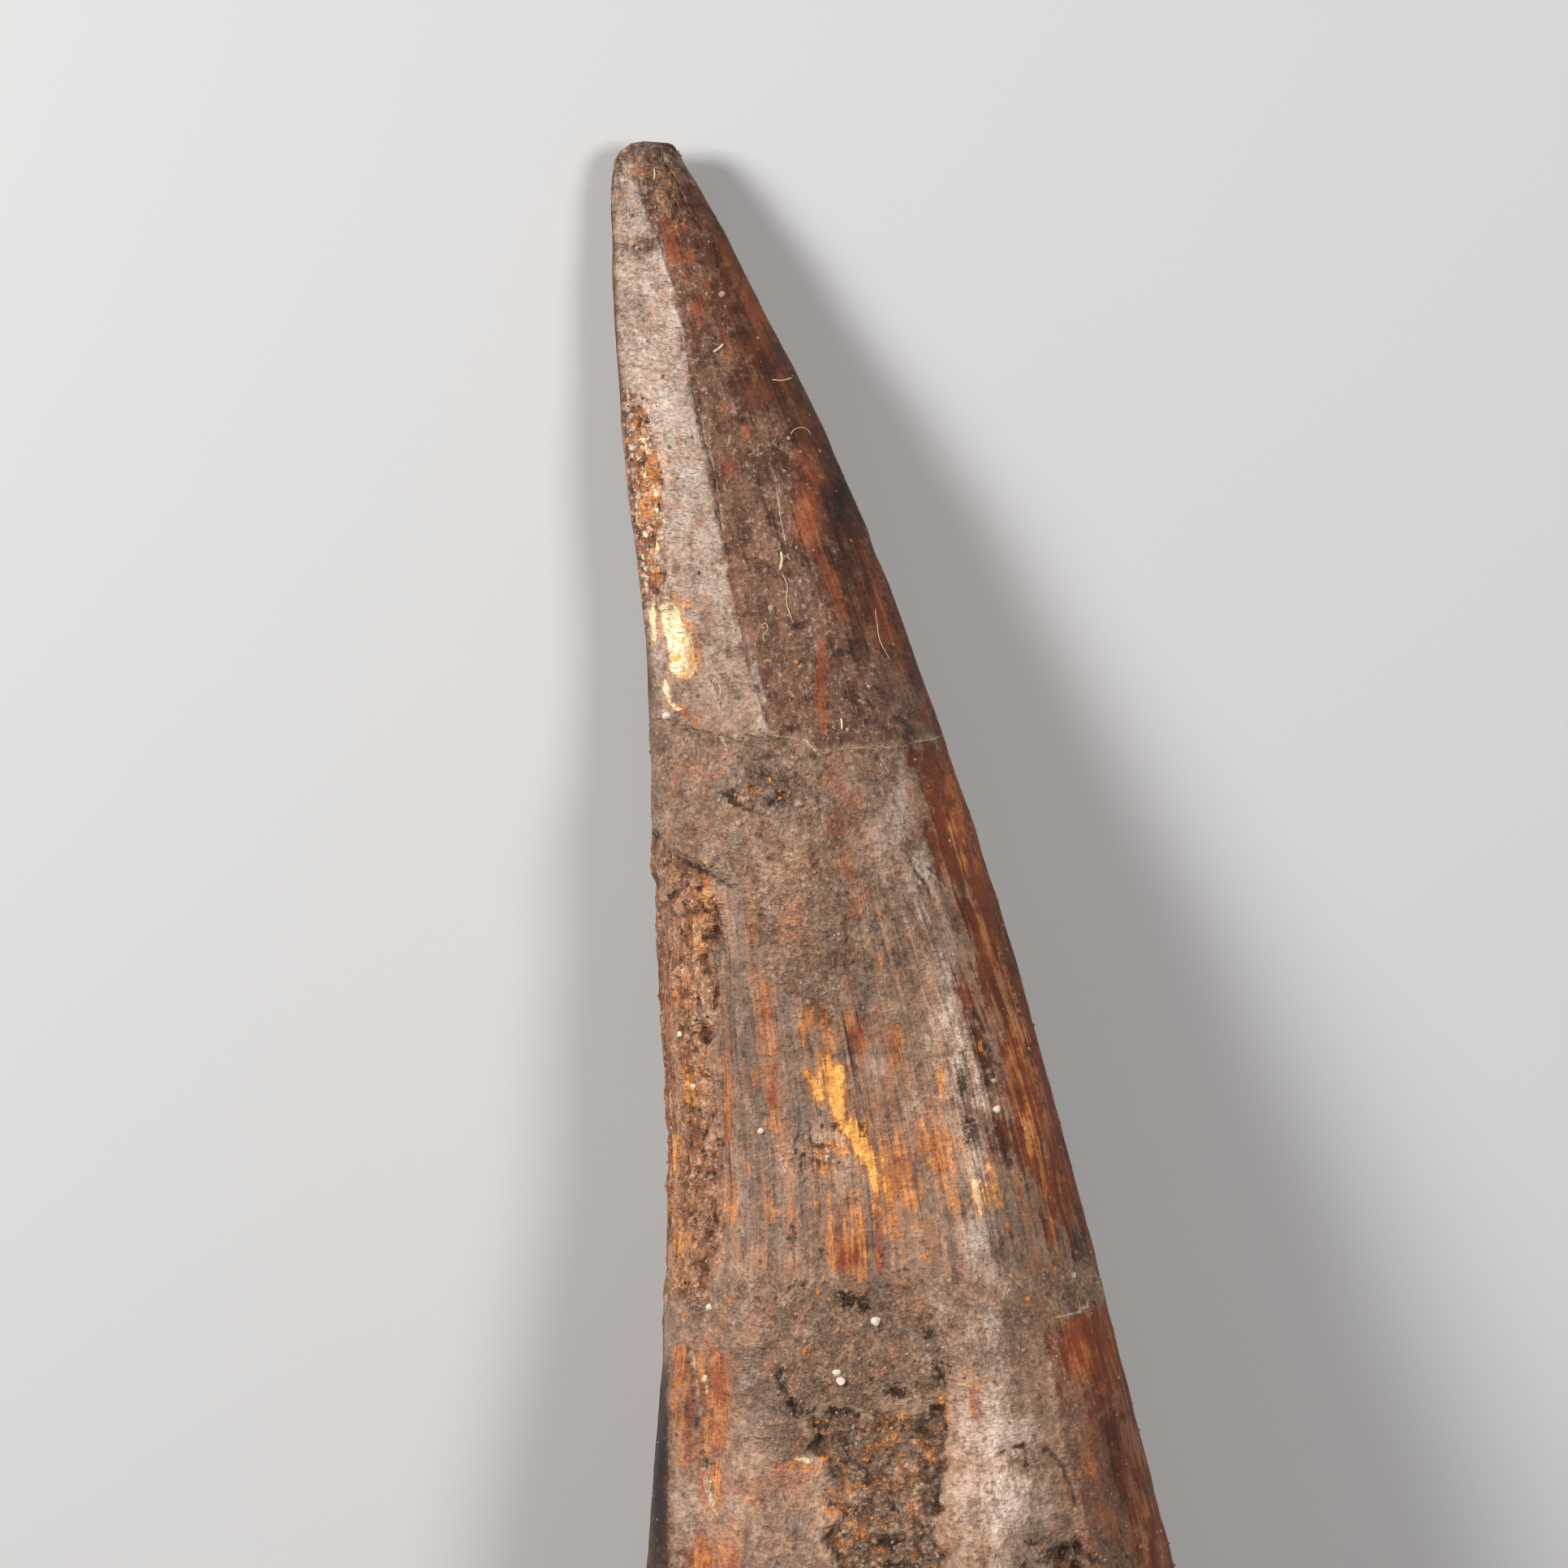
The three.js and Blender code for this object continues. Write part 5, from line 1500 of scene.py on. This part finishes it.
def surface_finder(context):
    """A function that finds the surface's point and direction under a photo pixel, in the row's frame."""
    mesh = bpy.data.objects["tooth_surface"].data
    tree = BVHTree.FromPolygons([v.co[:] for v in mesh.vertices], [p.vertices[:] for p in mesh.polygons])
    distance = view_distance(context.scene)
    eye = np.array((MIDDLE_ALONG, MIDDLE_ACROSS, distance))

    def find(x, y):
        aim = np.array(((y - TIP_PIXEL[1]) / PIXELS_PER_MM, (x - TIP_PIXEL[0]) / PIXELS_PER_MM, 0.0))
        start, end = to_row(np.array([eye, aim]))
        point, normal, _, _ = tree.ray_cast(Vector(start), Vector(end - start))
        if point is None:
            raise RuntimeError(f"photo pixel {x}, {y} is not on the tooth")
        return point, normal

    return find


def stone_shape(radius, seed):
    """Points and faces of a small uneven stone."""
    golden = (1 + 5 ** 0.5) / 2
    corners = [(-1, golden, 0), (1, golden, 0), (-1, -golden, 0), (1, -golden, 0)]
    corners += [(0, a, b) for a, b in ((-1, golden), (1, golden), (-1, -golden), (1, -golden))]
    corners += [(golden, 0, -1), (golden, 0, 1), (-golden, 0, -1), (-golden, 0, 1)]
    faces = [
        (0, 11, 5), (0, 5, 1), (0, 1, 7), (0, 7, 10), (0, 10, 11), (1, 5, 9), (5, 11, 4), (11, 10, 2),
        (10, 7, 6), (7, 1, 8), (3, 9, 4), (3, 4, 2), (3, 2, 6), (3, 6, 8), (3, 8, 9), (4, 9, 5), (2, 4, 11),
        (6, 2, 10), (8, 6, 7), (9, 8, 1),
    ]
    points = [np.array(c) / np.linalg.norm(c) for c in corners]
    faces = split_faces(points, faces)
    shape = np.array(points)
    shape *= (1 + 0.45 * noise(shape + 7.3 * seed, 0.8, seed))[:, None] * radius
    return shape, faces


def split_faces(points, faces):
    """Cuts each triangle in four, with the new corners on the unit ball."""
    middles = {}

    def between(a, b):
        key = (min(a, b), max(a, b))
        if key not in middles:
            point = points[a] + points[b]
            points.append(point / np.linalg.norm(point))
            middles[key] = len(points) - 1
        return middles[key]

    split = []
    for a, b, c in faces:
        ab, bc, ca = between(a, b), between(b, c), between(c, a)
        split += [(a, ab, ca), (b, bc, ab), (c, ca, bc), (ab, bc, ca)]
    return split


def make_lodged_grains(context):
    """The larger grains that the photograph shows one by one."""
    find = surface_finder(context)
    colours = context.scene.fossil_colours
    sets = (
        ("white_grains", WHITE_GRAINS, colours.white, colours.facet),
        ("cream_grains", CREAM_GRAINS, colours.facet, colours.dust),
        ("orange_grains", ORANGE_GRAINS, colours.amber, colours.rust),
    )
    for name, grains, light, dark in sets:
        points, faces = [], []
        for number, (x, y, size) in enumerate(grains):
            centre, normal = find(x, y)
            radius = size / 2 / PIXELS_PER_MM * MM
            shape, sides = stone_shape(radius, number)
            start = sum(len(p) for p in points)
            points.append(shape * (0.9, 1.0, 0.75) + np.array(centre + normal * radius * 0.15))
            faces += [tuple(start + i for i in side) for side in sides]
        material = grain_material(name, light, dark, tint=False)
        grains_piece = new_piece(name, np.concatenate(points), faces, material, smooth_faces=False)
        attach(grains_piece, "root")


def tube(path, radius, sides=6):
    """Points and faces of a thin thread with tapered closed ends."""
    path = np.array(path)
    count = len(path)
    points, faces = [path[0]], []
    for i in range(count):
        ahead = path[min(i + 1, count - 1)] - path[max(i - 1, 0)]
        ahead /= np.linalg.norm(ahead)
        first = np.cross(ahead, (0, 0, 1))
        first /= np.linalg.norm(first)
        second = np.cross(ahead, first)
        taper = radius * (0.45 if i in (0, count - 1) else 1.0)
        for k in range(sides):
            angle = math.tau * k / sides
            points.append(path[i] + taper * (math.cos(angle) * first + math.sin(angle) * second))
    points.append(path[-1] + (path[-1] - path[-2]) * 0.3)
    points[0] = path[0] - (path[1] - path[0]) * 0.3
    last = len(points) - 1
    for k in range(sides):
        d = (k + 1) % sides
        faces.append((0, 1 + d, 1 + k))
        faces.append((last, last - sides + k, last - sides + d))
        for i in range(count - 1):
            a, b = 1 + i * sides, 1 + (i + 1) * sides
            faces.append((a + k, a + d, b + d, b + k))
    return points, faces


def make_lint(context):
    """Threads of lint and splinters that cling to the enamel."""
    find = surface_finder(context)
    colours = context.scene.fossil_colours
    points, faces = [], []
    for diameter, line in THREADS:
        rows = np.array(line, float)
        at = np.linspace(0, len(rows) - 1, 4 * (len(rows) - 1) + 1)
        radius = diameter / 2 * MM
        found = [find(x, y) for x, y in curve_through(rows, at, closed=False)]
        path = [np.array(point + normal * radius * 1.1) for point, normal in found]
        made, sides = tube(path, radius)
        start = len(points)
        points += made
        faces += [tuple(start + i for i in side) for side in sides]
    lint = new_piece("lint", points, faces, grain_material("lint", colours.cream, colours.facet, tint=False))
    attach(lint, "root")


def make_stage(context):
    """A pale floor, two soft lights with a weak fill, and the camera over the tooth."""
    stage = context.scene.fossil_stage
    m = Maker("pale floor")
    grain = m.noise(m.stretch(m.node("ShaderNodeTexCoord", output=3), (1, 1, 1)), 30.0, 2.0)
    floor_colour = m.mix(grain * 0.06, stage.floor_colour, (0.5, 0.5, 0.5))
    half = stage.floor_size / 2
    corners = [(-half, -half, 0), (half, -half, 0), (half, half, 0), (-half, half, 0)]
    floor = new_piece("floor", corners, [(0, 1, 2, 3)], m.finish(floor_colour, 0.8), smooth_faces=False)

    up = Vector(AXES[2])
    ahead = -Vector(AXES[0])
    aim_point = Vector(to_row(np.array((MIDDLE_ALONG, MIDDLE_ACROSS, 0.0))))
    add_light("hooked_side_light", aim_point, ahead, 50, 20, stage.hooked_power, stage.light_size, up)
    add_light("round_side_light", aim_point, ahead, -31, 4, stage.round_power, stage.light_size, up)

    camera = bpy.data.cameras.new("camera")
    camera.lens = stage.lens
    camera.sensor_width = SENSOR
    camera.clip_start = 0.01
    holder = bpy.data.objects.new("camera", camera)
    right = Vector(AXES[1])
    turn = Matrix((right, ahead, up)).transposed()
    eye = aim_point + up * view_distance(context.scene) * MM
    holder.matrix_world = Matrix.Translation(eye) @ turn.to_4x4()
    context.scene.collection.objects.link(holder)
    context.scene.camera = holder

    world = bpy.data.worlds.new("studio")
    world.use_nodes = True
    background = world.node_tree.nodes["Background"]
    background.inputs["Color"].default_value = (*stage.sky_colour, 1)
    background.inputs["Strength"].default_value = stage.sky_strength
    context.scene.world = world
    context.scene.view_settings.view_transform = "Standard"


def add_light(name, aim, ahead, lean, forward, power, size, up):
    """A square soft light that leans to the hooked side, or to the round side below 0, in degrees."""
    light = bpy.data.lights.new(name, "AREA")
    light.energy = power
    light.size = size
    to_hooked = -Vector(AXES[1])
    direction = up.copy()
    direction.rotate(Matrix.Rotation(math.radians(lean), 3, up.cross(to_hooked)))
    direction.rotate(Matrix.Rotation(math.radians(forward), 3, up.cross(ahead)))
    holder = bpy.data.objects.new(name, light)
    holder.location = aim + direction * LIGHT_DISTANCE
    holder.rotation_euler = direction.to_track_quat("Z", "Y").to_euler()
    bpy.context.scene.collection.objects.link(holder)


def colour_of(name, description, default):
    return FloatVectorProperty(
        name=name, description=description, default=default, subtype="COLOR", size=3, min=0, max=1,
    )


def number_of(name, description, default, **more):
    more = {"min": 0, **more}
    return FloatProperty(name=name, description=description, default=default, **more)


def length_of(name, description, default):
    return number_of(name, description, default, unit="LENGTH", precision=5)


class ToothSizes(bpy.types.PropertyGroup):
    relief: number_of("Relief", "Strength of the small breaks, lumps and pits", 1.0, max=2)


class ToothColours(bpy.types.PropertyGroup):
    shine: number_of("Shine", "Reflectivity of the polished brown", 0.33, max=1)
    deep: colour_of("Deep brown", "Darkest brown of the polished tooth", (0.044, 0.015, 0.008))
    brown: colour_of("Brown", "Reddish brown of the polished tooth", (0.150, 0.044, 0.017))
    maroon: colour_of("Maroon", "Dark wine-brown patches", (0.150, 0.048, 0.028))
    red: colour_of("Red", "Red-brown patches", (0.33, 0.074, 0.025))
    rust: colour_of("Rust", "Orange-red patches", (0.44, 0.130, 0.034))
    flank: colour_of("Flank", "Orange-red of the polished flank", (0.44, 0.106, 0.022))
    flank_red: colour_of("Red flank", "Red-brown of the polished flank", (0.32, 0.058, 0.015))
    amber: colour_of("Amber", "Orange fibres and pits", (0.66, 0.245, 0.055))
    peach: colour_of("Peach", "Pinkish orange streaks", (0.72, 0.33, 0.18))
    gold: colour_of("Gold", "Brightest yellow-orange streaks", (0.98, 0.49, 0.13))
    gold_dark: colour_of("Dark gold", "Deeper yellow-orange of the streaks", (0.84, 0.34, 0.065))
    green_black: colour_of("Dark stain", "Greenish black stain", (0.036, 0.021, 0.013))
    dust: colour_of("Dust", "Grey-brown dusty film", (0.36, 0.212, 0.132))
    dust_dark: colour_of("Dark dust", "Darker parts of the film", (0.17, 0.088, 0.052))
    dust_light: colour_of("Light dust", "Lighter parts of the film", (0.54, 0.355, 0.240))
    dust_pink: colour_of("Pink dust", "Reddish parts of the film", (0.43, 0.200, 0.112))
    dust_grey: colour_of("Grey dust", "Grey-violet parts of the film", (0.285, 0.182, 0.132))
    facet: colour_of("Facet", "Pale worn facet", (0.56, 0.40, 0.305))
    facet_dark: colour_of("Facet specks", "Darker parts of the facet", (0.38, 0.245, 0.170))
    facet_grey: colour_of("Grey facet", "Bluish parts of the facet", (0.56, 0.455, 0.395))
    strip: colour_of("Strip", "Light lumps of the pitted strip", (0.80, 0.40, 0.215))
    strip_dark: colour_of("Dark strip", "Gaps in the pitted strip", (0.22, 0.074, 0.030))
    root: colour_of("Root", "Bare root", (0.36, 0.22, 0.135))
    root_dark: colour_of("Dark root", "Dark streaks of the root", (0.15, 0.075, 0.042))
    cream_dust: colour_of("Cream dust", "Pale crumbs on the hooked edge", (0.80, 0.60, 0.42))
    cream: colour_of("Cream", "Fresh chip and splinters", (0.92, 0.76, 0.46))
    white: colour_of("White", "White grains", (0.95, 0.90, 0.74))
    ink: colour_of("Ink", "Black pits and cracks", (0.020, 0.014, 0.010))
    pit: colour_of("Pits", "Shade in pits", (0.055, 0.022, 0.011))


class GrainSizes(bpy.types.PropertyGroup):
    per_area: number_of("Grains per mm2", "Grains on a square millimetre of sand", 0.8)
    smallest: length_of("Smallest", "Smallest grain", 0.00012)
    largest: length_of("Largest", "Largest grain", 0.00036)
    crumbs_per_area: number_of("Crumbs per mm2", "Crumbs on a square millimetre of pits", 0.8)
    smallest_crumb: length_of("Smallest crumb", "Smallest crumb", 0.00015)
    largest_crumb: length_of("Largest crumb", "Largest crumb", 0.00045)
    seed: IntProperty(name="Seed", description="Number that fixes where the grains lie", default=4)


class StageSizes(bpy.types.PropertyGroup):
    lens: number_of("Lens", "Focal length in millimetres", 150.0, min=20)
    floor_size: length_of("Floor", "Side of the floor", 3.0)
    floor_colour: colour_of("Floor colour", "Pale plain floor", (0.62, 0.61, 0.60))
    hooked_power: number_of("Light on the hooked side", "Power", 3.3, unit="POWER")
    round_power: number_of("Light on the round side", "Power", 1.6, unit="POWER")
    light_size: length_of("Light size", "Side of each soft light", 0.16)
    sky_colour: colour_of("Room light", "Colour of the even room light", (1.0, 1.0, 1.0))
    sky_strength: number_of("Room light strength", "Strength of the room light", 0.08)


class FossilOperator:
    """What the operators share."""

    bl_options = {"REGISTER", "UNDO"}

    def execute(self, context):
        self.make(context)
        return {"FINISHED"}


class FOSSIL_OT_stage(FossilOperator, bpy.types.Operator):
    """Adds the floor, the lights and the camera"""

    bl_idname = "fossil.stage"
    bl_label = "Stage"

    def make(self, context):
        make_stage(context)


class FOSSIL_OT_tooth(FossilOperator, bpy.types.Operator):
    """Draws the tooth's surface over its solid"""

    bl_idname = "fossil.tooth"
    bl_label = "Tooth"

    def make(self, context):
        make_tooth(context)


class FOSSIL_OT_sand(FossilOperator, bpy.types.Operator):
    """Scatters the fine sand on the breaks and fills"""

    bl_idname = "fossil.sand"
    bl_label = "Sand"

    def make(self, context):
        make_sand(context)


class FOSSIL_OT_lodged_grains(FossilOperator, bpy.types.Operator):
    """Sets the larger grains one by one"""

    bl_idname = "fossil.lodged_grains"
    bl_label = "Lodged grains"

    def make(self, context):
        make_lodged_grains(context)


class FOSSIL_OT_lint(FossilOperator, bpy.types.Operator):
    """Lays the threads of lint and the splinters"""

    bl_idname = "fossil.lint"
    bl_label = "Lint"

    def make(self, context):
        make_lint(context)


class FOSSIL_PT_panel(bpy.types.Panel):
    """Lists the pieces and their sizes"""

    bl_idname = "FOSSIL_PT_panel"
    bl_label = "Fossil tooth"
    bl_space_type = "VIEW_3D"
    bl_region_type = "UI"
    bl_category = "Fossil"

    def draw(self, context):
        for operator in OPERATORS:
            self.layout.operator(operator.bl_idname)
        for name in SETTINGS:
            group = getattr(context.scene, name)
            for key in group.bl_rna.properties.keys():
                if key not in ("rna_type", "name"):
                    self.layout.prop(group, key)


OPERATORS = (FOSSIL_OT_stage, FOSSIL_OT_tooth, FOSSIL_OT_sand, FOSSIL_OT_lodged_grains, FOSSIL_OT_lint)
SETTINGS = {
    "fossil_tooth": ToothSizes,
    "fossil_colours": ToothColours,
    "fossil_grains": GrainSizes,
    "fossil_stage": StageSizes,
}


def register():
    for group in SETTINGS.values():
        bpy.utils.register_class(group)
    for name, group in SETTINGS.items():
        setattr(bpy.types.Scene, name, PointerProperty(type=group))
    for operator in (*OPERATORS, FOSSIL_PT_panel):
        bpy.utils.register_class(operator)


def unregister():
    for operator in (FOSSIL_PT_panel, *OPERATORS):
        bpy.utils.unregister_class(operator)
    for name, group in SETTINGS.items():
        delattr(bpy.types.Scene, name)
        bpy.utils.unregister_class(group)


def main():
    register()
    bpy.ops.fossil.stage()
    bpy.ops.fossil.tooth()
    bpy.ops.fossil.sand()
    bpy.ops.fossil.lodged_grains()
    bpy.ops.fossil.lint()


if __name__ == "__main__":
    main()
